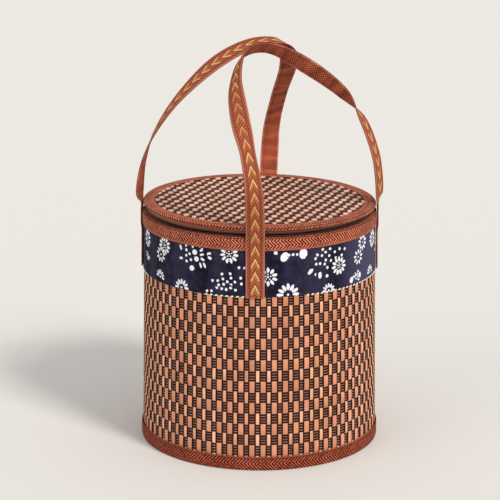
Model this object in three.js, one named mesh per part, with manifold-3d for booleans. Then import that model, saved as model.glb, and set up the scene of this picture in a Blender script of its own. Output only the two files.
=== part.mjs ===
// Round bamboo picnic basket: slatted wall on a card drum, cloth band and taped edges,
// a zip lid on a cloth hinge, and two webbing handles that cross over the top.
// Millimetres, +Z up. The origin is the centre of the base on the ground, the front is -Y.
// Angles round the basket are in degrees from the front, growing towards +X.
import * as THREE from 'three';
import * as BufferGeometryUtils from 'three/addons/utils/BufferGeometryUtils.js';
import Module from 'manifold-3d';

const wasm = await Module();
wasm.setup();

// Overall size
const RIM_RADIUS = 120;          // outside of the taped rim
const FOOT_FLARE = 3.5;          // the foot is this much wider than the rim all round
const RIM_HEIGHT = 240;          // top of the taped rim
const GAP = 0.3;                 // left between pieces that touch

// Wall, from the outside in
const TAPE = 0.6;                // binding tape
const BAND = 0.4;                // printed cloth band
const SLAT = 0.7;                // bamboo slats
const WEFT = 0.4;                // sheet of dark wefts that the slats are woven into
const BOARD = 1.1;               // card drum
const LINING = 0.4;              // lining cloth
const ZIP_TAPE = 0.5;

// Weave
const SLAT_PITCH = 11.1;         // one wide and one narrow slat, measured round the rim
const WIDE_SLAT = 5.6;
const NARROW_SLAT = 3.6;
const FIRST_WIDE_SLAT = 1.9;     // degrees

// Bindings and band
const FOOT_TAPE_HEIGHT = 14;
const FOOT_TAPE_UNDER = 11;      // turned in under the base
const RIM_TAPE_HEIGHT = 13;
const BAND_HEIGHT = 60;          // from the band's hem up to the top of the rim
const BASE_BOARD = 3;

// Lid
const LID_GAP = 4.6;             // open height between rim and lid, where the zip runs
const LID_INSET = 0.6;           // the lid is this much smaller than the rim all round
const LID_LIFT = 0.85;           // degrees the unzipped lid stands open, as its zip tape springs up
const LID_CORE = 0.9;
const LID_RING_WIDTH = 12;       // taped ring on top of the lid
const LID_MAT_TUCK = 4;          // how far the mat runs in under that ring
const LID_SLAT_ANGLE = 11.6;     // degrees the mat is turned
const LID_WIDE_SLAT = 6;
const LID_NARROW_SLAT = 4.2;
const LID_SLAT_PITCH = 12.2;
const LID_WEFT = 0.3;
const LID_SLAT = 0.5;

// Zip and hinge
const HINGE_ANGLE = 133;         // middle of the cloth hinge, between the back and right straps
const CLOTH_HALF = 15;           // degrees of cloth each side of that
const STOP_FROM = 18;            // degrees from the hinge where the zip's end stops lie
const STOP_TO = 20;
const ZIP_PARK = 24;             // where the slider stands at each end
const ZIP_FREE = 27.5;           // where the lid's own half of the zip starts
const COIL_WIDTH = 1.4;
const COIL_THICK = 1;
const SLIDER_LENGTH = 8;
const SLIDER_PLATE = 0.7;
const SLIDER_CHAMFER = 0.5;
const SLIDER_NOSE = 1.1;         // the deeper chamfer of its front end
const SLIDER_POST = 0.6;
const PULL_LENGTH = 14;
const PULL_WIDTH = 3.8;
const PULL_THICK = 0.8;
const PULL_PIN_RADIUS = 0.4;
const PULL_TILT = 1.5;           // degrees, so that the straight pull keeps to the round of the zip
const PULL_TIP = 1.5;            // length of its rounded end
const PULL_CLEARANCE = 0.4;      // between the slider's face and the pull
const BAIL_WIDTH = 1;
const BAIL_THICK = 0.6;

// Straps
const STRAP_WIDTH = 19;
const STRAP_THICK = 1.7;
const STRAP_STEP = 8;            // stretch over which a sewn end climbs from the band onto the tape
const STRAP_TURN = -2;           // degrees the straps are turned from the front
const BACK_STRAP_SHIFT = -2.5;   // degrees the back strap is off the place opposite the front one
const STRAP_SEAM = 0.5;          // least height of the slanting gap where a handle folds
const SEWN_RISE = 6.5;           // rise of the gap's lower side across the webbing
const FOLD_RISE = 9.4;           // rise of its upper side, which turns outwards over the lower
const HANDLE_STEPS = 58;
const WEB_EDGE = 0.8;            // chamfer of the webbing's edges
const UPRIGHT_RUN = 7;           // stretch of a handle that stands straight up from the rim

// Each handle's route over the top: the middle of the webbing, with its height counted from
// the rim, and the way its patterned side faces there. They are drawn for ROUTE_RADIUS.
const ROUTE_RADIUS = 120;
const FRONT_TO_RIGHT = [
  { at: [-6, -120, 49], faces: [0.4, -0.9, 0] },
  { at: [-12, -116, 85], faces: [0.6, -0.8, 0.1] },
  { at: [-20, -97, 117], faces: [-0.2, -0.8, 0.5] },
  { at: [-24, -64, 145], faces: [-0.7, 0, 0.7] },
  { at: [-15, -27, 166], faces: [-0.6, 0.5, 0.7] },
  { at: [12, -7, 166], faces: [0, 0.7, 0.7] },
  { at: [48, -2, 148], faces: [0.3, 0.9, 0.3] },
  { at: [83, -2, 122], faces: [0.6, 0.7, 0.4] },
  { at: [104, -6, 95], faces: [0.9, -0.3, 0.4] },
  { at: [117, -8, 62], faces: [0.9, -0.42, 0.2] },
  { at: [121.5, -7, 36], faces: [0.9, -0.42, 0] },
  { at: [122.4, -6, 17], faces: [0.92, -0.39, 0] },
];
const BACK_TO_LEFT = [
  { at: [10.5, 121.5, 32], faces: [-0.1, 0.99, 0] },
  { at: [13, 109, 66], faces: [-0.35, 0.9, 0.1] },
  { at: [20.5, 78, 105], faces: [-0.4, 0.85, 0.3] },
  { at: [29, 43, 140], faces: [-0.2, 0.8, 0.6] },
  { at: [28, 14, 163], faces: [0.25, 0.2, 0.95] },
  { at: [18, 4, 173.4], faces: [0.15, -0.1, 1] },
  { at: [-11, 3, 169.5], faces: [0, -0.45, 0.9] },
  { at: [-47, 4, 149], faces: [-0.5, -0.6, 0.6] },
  { at: [-83, 4, 114], faces: [-0.75, -0.3, 0.6] },
  { at: [-107, 4, 79], faces: [-0.95, -0.05, 0.3] },
  { at: [-119, 4, 48], faces: [-0.97, 0.2, 0.1] },
  { at: [-123.2, 4, 18], faces: [-0.93, 0.34, 0] },
];

// Worked out from the sizes above
const FOOT_RADIUS = RIM_RADIUS + FOOT_FLARE;
const SLAT_PAIRS = Math.round(2 * Math.PI * RIM_RADIUS / SLAT_PITCH);
const SEGMENTS = SLAT_PAIRS;                     // facets of a ring, one to each pair of slats
const PITCH = 360 / SLAT_PAIRS;
const BAND_DEPTH = TAPE + GAP;
const SLAT_DEPTH = BAND_DEPTH + BAND + GAP;
const WEFT_DEPTH = SLAT_DEPTH + SLAT;
const BOARD_DEPTH = WEFT_DEPTH + WEFT + GAP;
const LINING_DEPTH = BOARD_DEPTH + BOARD + GAP;
const ZIP_DEPTH = LINING_DEPTH + LINING + GAP;
const WALL_TOP = RIM_HEIGHT - TAPE - GAP;
const WALL_FOOT = TAPE + GAP;
const BAND_BOTTOM = RIM_HEIGHT - BAND_HEIGHT;
const BOARD_TOP = WALL_FOOT + BASE_BOARD;
const STRAP_RADIUS = RIM_RADIUS + GAP + STRAP_THICK / 2;
const STRAP_RIM = RIM_HEIGHT + 1;                // where a handle's free run starts
const LID_RADIUS = RIM_RADIUS - LID_INSET;
const LID_UNDER = RIM_HEIGHT + LID_GAP;
const LID_LINING_TOP = LID_UNDER + LINING;
const LID_CORE_FOOT = LID_UNDER + TAPE + GAP;
const LID_MAT_FOOT = LID_CORE_FOOT + LID_CORE + GAP;
const LID_MAT_TOP = LID_MAT_FOOT + LID_WEFT + LID_SLAT;
const LID_TOP = LID_MAT_TOP + GAP + TAPE;
const LID_MAT_RADIUS = LID_RADIUS - LID_RING_WIDTH + LID_MAT_TUCK;
const ZIP_RADIUS = RIM_RADIUS - ZIP_DEPTH;       // outside of the zip tape
const LOWER_COIL_TOP = RIM_HEIGHT + GAP + COIL_WIDTH;
const UPPER_COIL_FOOT = LID_UNDER - GAP - COIL_WIDTH;
const SLIDER_FOOT = RIM_HEIGHT + GAP;
const SLIDER_TOP = LID_UNDER - GAP;
const SLIDER_FACE = ZIP_RADIUS + GAP + COIL_THICK + GAP + SLIDER_PLATE;
const PULL_AXIS = SLIDER_FACE + PULL_CLEARANCE + PULL_THICK / 2;

const finish = (colour, roughness, metalness = 0) =>
  new THREE.MeshStandardMaterial({ color: colour, roughness, metalness });
const bamboo = () => finish(0xcf9a6c, 0.55);
const brownTape = () => finish(0xa5583c, 0.85);
const webbing = () => finish(0x9a4c33, 0.8);
const printedCloth = () => finish(0x23233c, 0.9);
const liningCloth = () => finish(0xb98c68, 0.95);
const cardBoard = () => finish(0x9c7f5c, 0.95);
const zipCloth = () => finish(0x3c1410, 0.9);
const zipCoil = () => finish(0x2a0d0b, 0.5);
const brass = () => finish(0x8a6a3a, 0.35, 1);

const degrees = (angle) => THREE.MathUtils.degToRad(angle);
const outward = (angle) => new THREE.Vector3(Math.sin(degrees(angle)), -Math.cos(degrees(angle)), 0);
// Outside radius of the basket at a height, and the radius a given depth into its wall
const outside = (height) => FOOT_RADIUS + (RIM_RADIUS - FOOT_RADIUS) * (height / RIM_HEIGHT);
const inWall = (height, depth) => outside(height) - depth;

const basket = new THREE.Group();
const lid = new THREE.Group();
const slider = new THREE.Group();
basket.add(lid, slider);

function addPiece(group, name, geometry, material) {
  const piece = new THREE.Mesh(geometry, material);
  piece.name = name;
  group.add(piece);
  return piece;
}

// Closed solid of revolution about Z through [radius, height] points, listed anticlockwise
// with the radius to the right
function turned(points) {
  const profile = points.map(([radius, height]) => new THREE.Vector2(radius, height));
  const phase = degrees(FIRST_WIDE_SLAT - PITCH / 2);
  return new THREE.LatheGeometry(profile, SEGMENTS, phase, 2 * Math.PI).rotateX(Math.PI / 2);
}

// Closed ring about Z
const turnedRing = (points) => turned([...points, points[0]]);

// Ring that follows the wall between two heights, a given depth in from its outside
const wallRing = (depth, thickness, foot, top) => turnedRing([
  [inWall(foot, depth + thickness), foot],
  [inWall(foot, depth), foot],
  [inWall(top, depth), top],
  [inWall(top, depth + thickness), top],
]);

const turnedDisc = (radius, foot, top) => turned([[0, foot], [radius, foot], [radius, top], [0, top]]);

// Part of a flat-sided ring about Z, from one angle round to another
function arcBlock(inner, outer, foot, top, from, to) {
  const shape = new THREE.Shape();
  const start = degrees(from - 90);
  const end = degrees(to - 90);
  shape.absarc(0, 0, outer, start, end, false);
  shape.absarc(0, 0, inner, end, start, true);
  const facets = Math.max(2, Math.ceil(Math.abs(to - from) / PITCH / 2));
  return new THREE.ExtrudeGeometry(shape, { depth: top - foot, bevelEnabled: false, curveSegments: facets })
    .translate(0, 0, foot);
}

function asSolid(geometry) {
  const bare = geometry.clone();
  bare.deleteAttribute('normal');
  bare.deleteAttribute('uv');
  const merged = BufferGeometryUtils.mergeVertices(bare, 1e-4);
  return new wasm.Manifold(new wasm.Mesh({
    numProp: 3,
    vertProperties: new Float32Array(merged.attributes.position.array),
    triVerts: new Uint32Array(merged.index.array),
  }));
}

function asGeometry(solid) {
  const mesh = solid.getMesh();
  const geometry = new THREE.BufferGeometry();
  geometry.setAttribute('position', new THREE.BufferAttribute(mesh.vertProperties, 3));
  geometry.setIndex(new THREE.BufferAttribute(mesh.triVerts, 1));
  return geometry;
}

// Base, card drum, linings, and the woven wall round them
function buildWall() {
  const boardRadius = inWall(BOARD_TOP, BOARD_DEPTH) - BOARD - GAP;
  addPiece(basket, 'base_board', turnedDisc(boardRadius, WALL_FOOT, BOARD_TOP), cardBoard());
  const liningFoot = BOARD_TOP + GAP;
  addPiece(basket, 'base_lining', turnedDisc(inWall(BOARD_TOP, LINING_DEPTH) - LINING - GAP,
    liningFoot, liningFoot + LINING), liningCloth());
  addPiece(basket, 'wall_drum', wallRing(BOARD_DEPTH, BOARD, WALL_FOOT, WALL_TOP), cardBoard());
  addPiece(basket, 'wall_lining', wallRing(LINING_DEPTH, LINING, liningFoot, RIM_HEIGHT - RIM_TAPE_HEIGHT),
    liningCloth());

  // The wefts close up into one sheet, and every slat is held in it by half its thickness.
  const lean = Math.atan2(FOOT_RADIUS - RIM_RADIUS, RIM_HEIGHT);
  const slatThick = SLAT + WEFT / 2;
  const slatLength = (WALL_TOP - WALL_FOOT) / Math.cos(lean) - 2 * slatThick * Math.tan(lean);
  const middle = (WALL_TOP + WALL_FOOT) / 2;
  const slatAt = (angle, width) => asSolid(new THREE.BoxGeometry(width, slatThick, slatLength)
    .rotateX(-lean)
    .translate(0, -inWall(middle, SLAT_DEPTH + slatThick / 2), middle)
    .rotateZ(degrees(angle)));
  const strips = [asSolid(wallRing(WEFT_DEPTH, WEFT, WALL_FOOT, WALL_TOP))];
  for (let pair = 0; pair < SLAT_PAIRS; pair += 1) {
    strips.push(slatAt(FIRST_WIDE_SLAT + pair * PITCH, WIDE_SLAT));
    strips.push(slatAt(FIRST_WIDE_SLAT + (pair + 0.5) * PITCH, NARROW_SLAT));
  }
  addPiece(basket, 'woven_wall', asGeometry(wasm.Manifold.union(strips)), bamboo());
}

// Tape bindings and the printed cloth band
function buildEdges() {
  const footInner = inWall(0, FOOT_TAPE_UNDER);
  addPiece(basket, 'foot_binding', turnedRing([
    [footInner, 0],
    [outside(0), 0],
    [outside(FOOT_TAPE_HEIGHT), FOOT_TAPE_HEIGHT],
    [inWall(FOOT_TAPE_HEIGHT, TAPE), FOOT_TAPE_HEIGHT],
    [inWall(TAPE, TAPE), TAPE],
    [footInner, TAPE],
  ]), brownTape());

  addPiece(basket, 'cloth_band', wallRing(BAND_DEPTH, BAND, BAND_BOTTOM, WALL_TOP), printedCloth());

  const tapeFoot = RIM_HEIGHT - RIM_TAPE_HEIGHT;
  const innerLeg = tapeFoot + GAP;
  addPiece(basket, 'rim_binding', turnedRing([
    [inWall(tapeFoot, TAPE), tapeFoot],
    [outside(tapeFoot), tapeFoot],
    [RIM_RADIUS, RIM_HEIGHT],
    [inWall(RIM_HEIGHT, LINING_DEPTH + LINING), RIM_HEIGHT],
    [inWall(innerLeg, LINING_DEPTH + LINING), innerLeg],
    [inWall(innerLeg, LINING_DEPTH), innerLeg],
    [inWall(RIM_HEIGHT, LINING_DEPTH), RIM_HEIGHT - TAPE],
    [inWall(RIM_HEIGHT, TAPE), RIM_HEIGHT - TAPE],
  ]), brownTape());
}

// Lid: lining, core board, woven mat, taped ring
function buildLid() {
  const liningRadius = ZIP_RADIUS - ZIP_TAPE - GAP;
  addPiece(lid, 'lid_lining', turnedDisc(liningRadius, LID_UNDER, LID_LINING_TOP), liningCloth());
  addPiece(lid, 'lid_core', turnedDisc(LID_RADIUS - TAPE - GAP, LID_CORE_FOOT, LID_CORE_FOOT + LID_CORE),
    cardBoard());

  const ringInner = LID_RADIUS - LID_RING_WIDTH;
  const underInner = ZIP_RADIUS + GAP;
  addPiece(lid, 'lid_binding', turnedRing([
    [underInner, LID_UNDER],
    [LID_RADIUS - TAPE, LID_UNDER],
    [LID_RADIUS, LID_UNDER + TAPE],
    [LID_RADIUS, LID_TOP - TAPE],
    [LID_RADIUS - TAPE, LID_TOP],
    [ringInner, LID_TOP],
    [ringInner, LID_TOP - TAPE],
    [LID_RADIUS - TAPE, LID_TOP - TAPE],
    [LID_RADIUS - TAPE, LID_UNDER + TAPE],
    [underInner, LID_UNDER + TAPE],
  ]), brownTape());

  // The mat is woven like the wall: a sheet of wefts with the slats standing on it.
  const layer = (foot, top) => asSolid(turnedDisc(LID_MAT_RADIUS, foot, top));
  const sheet = layer(LID_MAT_FOOT, LID_MAT_FOOT + LID_WEFT);
  const round = layer(LID_MAT_FOOT + LID_WEFT / 2, LID_MAT_TOP);
  const slatAt = (offset, width) => asSolid(new THREE.BoxGeometry(width, 2 * LID_RADIUS, 2 * LID_SLAT)
    .translate(offset, 0, LID_MAT_TOP - LID_SLAT / 2)
    .rotateZ(degrees(LID_SLAT_ANGLE)));
  const slats = [];
  const pairs = Math.floor((LID_MAT_RADIUS - LID_WIDE_SLAT) / LID_SLAT_PITCH);
  for (let pair = -pairs; pair <= pairs; pair += 1) {
    slats.push(slatAt(pair * LID_SLAT_PITCH, LID_WIDE_SLAT));
  }
  for (let pair = -pairs - 1; pair <= pairs; pair += 1) {
    slats.push(slatAt((pair + 0.5) * LID_SLAT_PITCH, LID_NARROW_SLAT));
  }
  const woven = sheet.add(wasm.Manifold.union(slats).intersect(round));
  addPiece(lid, 'lid_mat', asGeometry(woven), bamboo());
}

// Zip: tapes, coils, end stops, and the cloth hinge that the zip leaves free
function buildZip() {
  const stopGap = THREE.MathUtils.radToDeg(GAP / ZIP_RADIUS);
  const from = HINGE_ANGLE + STOP_TO + stopGap;
  const to = HINGE_ANGLE + 360 - STOP_TO - stopGap;
  const lidFrom = HINGE_ANGLE + ZIP_FREE;
  const lidTo = HINGE_ANGLE + 360 - ZIP_FREE;
  const tapeInner = ZIP_RADIUS - ZIP_TAPE;
  const coilOuter = ZIP_RADIUS + GAP + COIL_THICK;
  const lowerTapeTop = LOWER_COIL_TOP - GAP;
  const upperTapeFoot = UPPER_COIL_FOOT + GAP;
  addPiece(basket, 'zip_tape_lower', arcBlock(tapeInner, ZIP_RADIUS, RIM_HEIGHT - RIM_TAPE_HEIGHT / 2,
    lowerTapeTop, from, to), zipCloth());
  addPiece(basket, 'zip_coil_lower', arcBlock(ZIP_RADIUS + GAP, coilOuter, RIM_HEIGHT + GAP,
    LOWER_COIL_TOP, from, to), zipCoil());
  addPiece(lid, 'zip_tape_upper', arcBlock(tapeInner, ZIP_RADIUS, upperTapeFoot, LID_UNDER + TAPE,
    lidFrom, lidTo), zipCloth());
  addPiece(lid, 'zip_coil_upper', arcBlock(ZIP_RADIUS + GAP, coilOuter, UPPER_COIL_FOOT,
    LID_UNDER - GAP, lidFrom, lidTo), zipCoil());

  // A stop at each end closes the two tapes together beside the hinge.
  const stop = (angle) => arcBlock(tapeInner, coilOuter, RIM_HEIGHT + GAP, LID_UNDER - GAP,
    angle, angle + STOP_TO - STOP_FROM);
  addPiece(basket, 'zip_end_stop_back', stop(HINGE_ANGLE + STOP_FROM), brass());
  addPiece(basket, 'zip_end_stop_right', stop(HINGE_ANGLE - STOP_TO), brass());

  // The hinge cloth has a lower and an upper half, which fold on the line between them.
  const clothOuter = RIM_RADIUS - TAPE;
  const clothInner = clothOuter - 1.5 * TAPE;
  const fold = RIM_HEIGHT + LID_GAP / 2;
  const clothFrom = HINGE_ANGLE - CLOTH_HALF;
  const clothTo = HINGE_ANGLE + CLOTH_HALF;
  addPiece(basket, 'hinge_cloth_lower', arcBlock(clothInner, clothOuter, RIM_HEIGHT + GAP, fold - GAP / 2,
    clothFrom, clothTo), brownTape());
  addPiece(lid, 'hinge_cloth_upper', arcBlock(clothInner, clothOuter, fold + GAP / 2, LID_UNDER - GAP,
    clothFrom, clothTo), brownTape());
}

// Everything on the lid turns with it about the fold of the hinge cloth.
function liftLid() {
  const fold = outward(HINGE_ANGLE).multiplyScalar(RIM_RADIUS - TAPE / 2).setZ(RIM_HEIGHT + LID_GAP / 2);
  lid.quaternion.setFromAxisAngle(outward(HINGE_ANGLE + 90), degrees(LID_LIFT));
  lid.position.copy(fold).sub(fold.clone().applyQuaternion(lid.quaternion));
}

// Slider: two plates on a post that runs between the coils, with a bail for the pull
function buildSlider() {
  const at = HINGE_ANGLE + ZIP_PARK;
  const half = SLIDER_LENGTH / 2;
  const height = SLIDER_TOP - SLIDER_FOOT;
  const middle = (SLIDER_TOP + SLIDER_FOOT) / 2;
  const innerFace = ZIP_RADIUS - ZIP_TAPE - GAP;
  const outerBack = SLIDER_FACE - SLIDER_PLATE;
  const nose = half / 2;
  const plate = (back, front) => {
    const outline = new THREE.Shape();
    outline.moveTo(-half, -height / 2 + SLIDER_CHAMFER);
    outline.lineTo(-half + SLIDER_CHAMFER, -height / 2);
    outline.lineTo(nose, -height / 2);
    outline.lineTo(half, -height / 2 + SLIDER_NOSE);
    outline.lineTo(half, height / 2 - SLIDER_NOSE);
    outline.lineTo(nose, height / 2);
    outline.lineTo(-half + SLIDER_CHAMFER, height / 2);
    outline.lineTo(-half, height / 2 - SLIDER_CHAMFER);
    const body = new THREE.ExtrudeGeometry(outline, { depth: front - back, bevelEnabled: false });
    return body.rotateX(Math.PI / 2).translate(0, -back, middle);
  };
  // The coils curve, so the flat plates stand off them by the rise of the arc under half a slider.
  const rise = half * half / (2 * RIM_RADIUS);
  const outerPlate = asSolid(plate(outerBack, SLIDER_FACE));
  const innerPlate = asSolid(plate(innerFace - rise - SLIDER_PLATE, innerFace - rise));
  const postLength = outerBack - innerFace + rise + SLIDER_PLATE;
  const post = asSolid(new THREE.BoxGeometry(half, postLength, SLIDER_POST)
    .translate(nose / 2, -outerBack + (postLength - SLIDER_PLATE) / 2, middle));

  // The bail is an arch over the pull's bar, rooted in the outer plate.
  const bailInside = PULL_AXIS - SLIDER_FACE + PULL_PIN_RADIUS + GAP;
  const bailOutside = bailInside + BAIL_THICK;
  const bailHalf = nose + BAIL_THICK / 2;
  const bailShape = new THREE.Shape();
  bailShape.moveTo(-bailHalf, -GAP);
  bailShape.lineTo(-bailHalf, bailInside);
  bailShape.quadraticCurveTo(-bailHalf, bailOutside, -nose / 2, bailOutside);
  bailShape.lineTo(nose / 2, bailOutside);
  bailShape.quadraticCurveTo(bailHalf, bailOutside, bailHalf, bailInside);
  bailShape.lineTo(bailHalf, -GAP);
  bailShape.lineTo(bailHalf - BAIL_THICK, -GAP);
  bailShape.lineTo(bailHalf - BAIL_THICK, bailInside);
  bailShape.lineTo(-bailHalf + BAIL_THICK, bailInside);
  bailShape.lineTo(-bailHalf + BAIL_THICK, -GAP);
  const bail = asSolid(new THREE.ExtrudeGeometry(bailShape,
    { depth: BAIL_WIDTH, bevelEnabled: false, curveSegments: 5 })
    .translate(0, 0, -BAIL_WIDTH / 2).rotateZ(Math.PI).translate(0, -SLIDER_FACE, middle));
  const body = outerPlate.add(innerPlate).add(post).add(bail);
  const mesh = addPiece(slider, 'zip_slider', asGeometry(body), brass());
  mesh.rotation.z = degrees(at);

  // The pull hangs by a thin bar under the bail and lies back along the zip.
  const barLength = PULL_WIDTH;
  const bar = asSolid(new THREE.CylinderGeometry(PULL_PIN_RADIUS, PULL_PIN_RADIUS, barLength, 10)
    .rotateX(Math.PI / 2));
  const outline = new THREE.Shape();
  const w = PULL_WIDTH / 2;
  outline.moveTo(0, -w);
  outline.lineTo(PULL_LENGTH - PULL_TIP, -w);
  outline.quadraticCurveTo(PULL_LENGTH, -w, PULL_LENGTH, 0);
  outline.quadraticCurveTo(PULL_LENGTH, w, PULL_LENGTH - PULL_TIP, w);
  outline.lineTo(0, w);
  const eye = half;                            // length of the eye, which clears the bail as the pull turns
  const flat = asSolid(new THREE.ExtrudeGeometry(outline,
    { depth: PULL_THICK, bevelEnabled: false, curveSegments: 5 })
    .translate(0, 0, -PULL_THICK / 2).rotateX(Math.PI / 2));
  const notch = asSolid(new THREE.BoxGeometry(2 * eye, 3 * PULL_THICK, BAIL_WIDTH + 2 * GAP));
  const pull = flat.subtract(notch).add(bar);
  const pullMesh = addPiece(slider, 'zip_pull', asGeometry(pull), brass());
  pullMesh.position.copy(outward(at).multiplyScalar(PULL_AXIS));
  pullMesh.position.z = middle;
  pullMesh.rotation.z = degrees(at + PULL_TILT);
}

// Straps: four sewn ends, and the free run of each handle
const strapAngles = {
  front: STRAP_TURN,
  right: STRAP_TURN + 90,
  back: STRAP_TURN + 180 + BACK_STRAP_SHIFT,
  left: STRAP_TURN + 270,
};

// Everything above a slanting plane across the strap at the rim, or everything below it.
// The rise is counted along the rim, over the width of the webbing.
function slantedHalf(angle, rise, above) {
  const reach = 3 * STRAP_WIDTH;
  const box = new THREE.BoxGeometry(reach, reach, reach);
  box.translate(0, 0, above ? reach / 2 : -reach / 2);
  box.rotateY(-Math.atan(rise / STRAP_WIDTH));
  return box.translate(0, -STRAP_RADIUS, STRAP_RIM + Math.abs(rise) / 2)
    .rotateZ(degrees(angle));
}

function sewnEnd(angle, outwardSide) {
  const tapeFoot = RIM_HEIGHT - RIM_TAPE_HEIGHT;
  const face = (height, depth) => outside(height) + GAP - depth;
  const top = STRAP_RIM + STRAP_WIDTH;
  const stepFoot = tapeFoot - STRAP_STEP;
  const inner = [
    [face(BAND_BOTTOM, BAND_DEPTH), BAND_BOTTOM],
    [face(stepFoot, BAND_DEPTH), stepFoot],
    [face(tapeFoot, 0), tapeFoot - GAP],
    [face(RIM_HEIGHT, 0), RIM_HEIGHT],
    [face(RIM_HEIGHT, 0), top],
  ];
  const outer = inner.map(([radius, height]) => [radius + STRAP_THICK, height]).reverse();
  const outline = [...inner, ...outer].map(([radius, height]) => new THREE.Vector2(radius, height));
  const profile = new THREE.Shape(outline);
  const strap = new THREE.ExtrudeGeometry(profile, { depth: STRAP_WIDTH, bevelEnabled: false });
  strap.translate(0, 0, -STRAP_WIDTH / 2).rotateX(Math.PI / 2).rotateZ(-Math.PI / 2).rotateZ(degrees(angle));
  const cut = slantedHalf(angle, SEWN_RISE * outwardSide, true);
  return asGeometry(asSolid(strap).subtract(asSolid(cut)));
}

// Webbing lofted along a route, with its patterned side facing as the route says
function freeRun(route) {
  const smooth = (points) => new THREE.CatmullRomCurve3(points, false, 'catmullrom');
  const places = smooth(route.map(({ at }) => new THREE.Vector3(...at)));
  const sides = smooth(route.map(({ faces }) => new THREE.Vector3(...faces).normalize()));
  const edge = STRAP_WIDTH / 2;
  const half = STRAP_THICK / 2;
  const flat = edge - WEB_EDGE;
  const section = [[-edge, 0], [-flat, -half], [flat, -half], [edge, 0], [flat, half], [-flat, half]];
  const positions = [];
  const faces = [];
  for (let step = 0; step <= HANDLE_STEPS; step += 1) {
    const t = step / HANDLE_STEPS;
    const centre = places.getPoint(t);
    const direction = places.getTangent(t);
    const across = new THREE.Vector3().crossVectors(direction, sides.getPoint(t)).normalize();
    const face = new THREE.Vector3().crossVectors(across, direction).normalize();
    section.forEach(([side, up]) => {
      const point = centre.clone().addScaledVector(across, side).addScaledVector(face, up);
      positions.push(point.x, point.y, point.z);
    });
  }
  const corners = section.length;
  for (let step = 0; step < HANDLE_STEPS; step += 1) {
    for (let corner = 0; corner < corners; corner += 1) {
      const a = step * corners + corner;
      const b = step * corners + ((corner + 1) % corners);
      faces.push(a, a + corners, b, b, a + corners, b + corners);
    }
  }
  const last = HANDLE_STEPS * corners;
  for (let corner = 1; corner < corners - 1; corner += 1) {
    faces.push(0, corner, corner + 1);
    faces.push(last, last + corner + 1, last + corner);
  }
  const geometry = new THREE.BufferGeometry();
  geometry.setAttribute('position', new THREE.Float32BufferAttribute(positions, 3));
  geometry.setIndex(faces);
  return geometry;
}

// A handle rises upright from its two rim points, so its route gets those ends.
function handle(name, route, fromAngle, toAngle) {
  const rimPoint = (angle, height) => outward(angle).multiplyScalar(STRAP_RADIUS).setZ(height).toArray();
  const upright = (angle) => [STRAP_RIM - STRAP_THICK, STRAP_RIM + UPRIGHT_RUN]
    .map((height) => ({ at: rimPoint(angle, height), faces: outward(angle).toArray() }));
  const spread = RIM_RADIUS / ROUTE_RADIUS;
  const above = route.map(({ at: [x, y, height], faces }) =>
    ({ at: [spread * x, spread * y, RIM_HEIGHT + height], faces }));
  const whole = [...upright(fromAngle), ...above, ...upright(toAngle).reverse()];
  const loop = asSolid(freeRun(whole))
    .subtract(asSolid(slantedHalf(fromAngle, FOLD_RISE, false).translate(0, 0, STRAP_SEAM)))
    .subtract(asSolid(slantedHalf(toAngle, -FOLD_RISE, false).translate(0, 0, STRAP_SEAM)));
  addPiece(basket, name, asGeometry(loop), webbing());
}

function buildStraps() {
  addPiece(basket, 'strap_end_front', sewnEnd(strapAngles.front, 1), webbing());
  addPiece(basket, 'strap_end_right', sewnEnd(strapAngles.right, -1), webbing());
  addPiece(basket, 'strap_end_back', sewnEnd(strapAngles.back, 1), webbing());
  addPiece(basket, 'strap_end_left', sewnEnd(strapAngles.left, -1), webbing());
  handle('handle_front_right', FRONT_TO_RIGHT, strapAngles.front, strapAngles.right);
  handle('handle_back_left', BACK_TO_LEFT, strapAngles.back, strapAngles.left);
}

buildWall();
buildEdges();
buildLid();
buildZip();
liftLid();
buildSlider();
buildStraps();

export default basket;
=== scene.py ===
"""The looks of a round bamboo picnic basket: slatted wall and lid, taped edges, printed cloth
band, zip, and webbing handles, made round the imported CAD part.

Shapes are worked out in millimetres and made metres when a piece is finished. Angles round
the basket are in degrees from the front, growing towards +X."""
import math
import random

import bmesh
import bpy
from mathutils import Matrix, Vector, noise


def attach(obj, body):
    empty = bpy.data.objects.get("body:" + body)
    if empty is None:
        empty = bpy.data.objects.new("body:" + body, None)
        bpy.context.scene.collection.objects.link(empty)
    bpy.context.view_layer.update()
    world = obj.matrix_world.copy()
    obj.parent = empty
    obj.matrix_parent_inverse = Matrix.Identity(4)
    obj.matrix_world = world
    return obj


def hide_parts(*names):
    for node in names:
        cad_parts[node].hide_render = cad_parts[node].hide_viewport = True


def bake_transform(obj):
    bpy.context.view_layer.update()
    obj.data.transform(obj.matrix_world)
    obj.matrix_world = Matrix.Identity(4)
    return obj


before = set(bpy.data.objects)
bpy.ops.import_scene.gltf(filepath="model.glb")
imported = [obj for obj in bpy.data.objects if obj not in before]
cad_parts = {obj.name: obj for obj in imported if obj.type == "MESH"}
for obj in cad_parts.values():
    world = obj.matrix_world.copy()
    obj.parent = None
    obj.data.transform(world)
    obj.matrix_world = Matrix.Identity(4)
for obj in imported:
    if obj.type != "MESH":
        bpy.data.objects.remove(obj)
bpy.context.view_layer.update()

MM = 0.001
UP = Vector((0, 0, 1))

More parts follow.
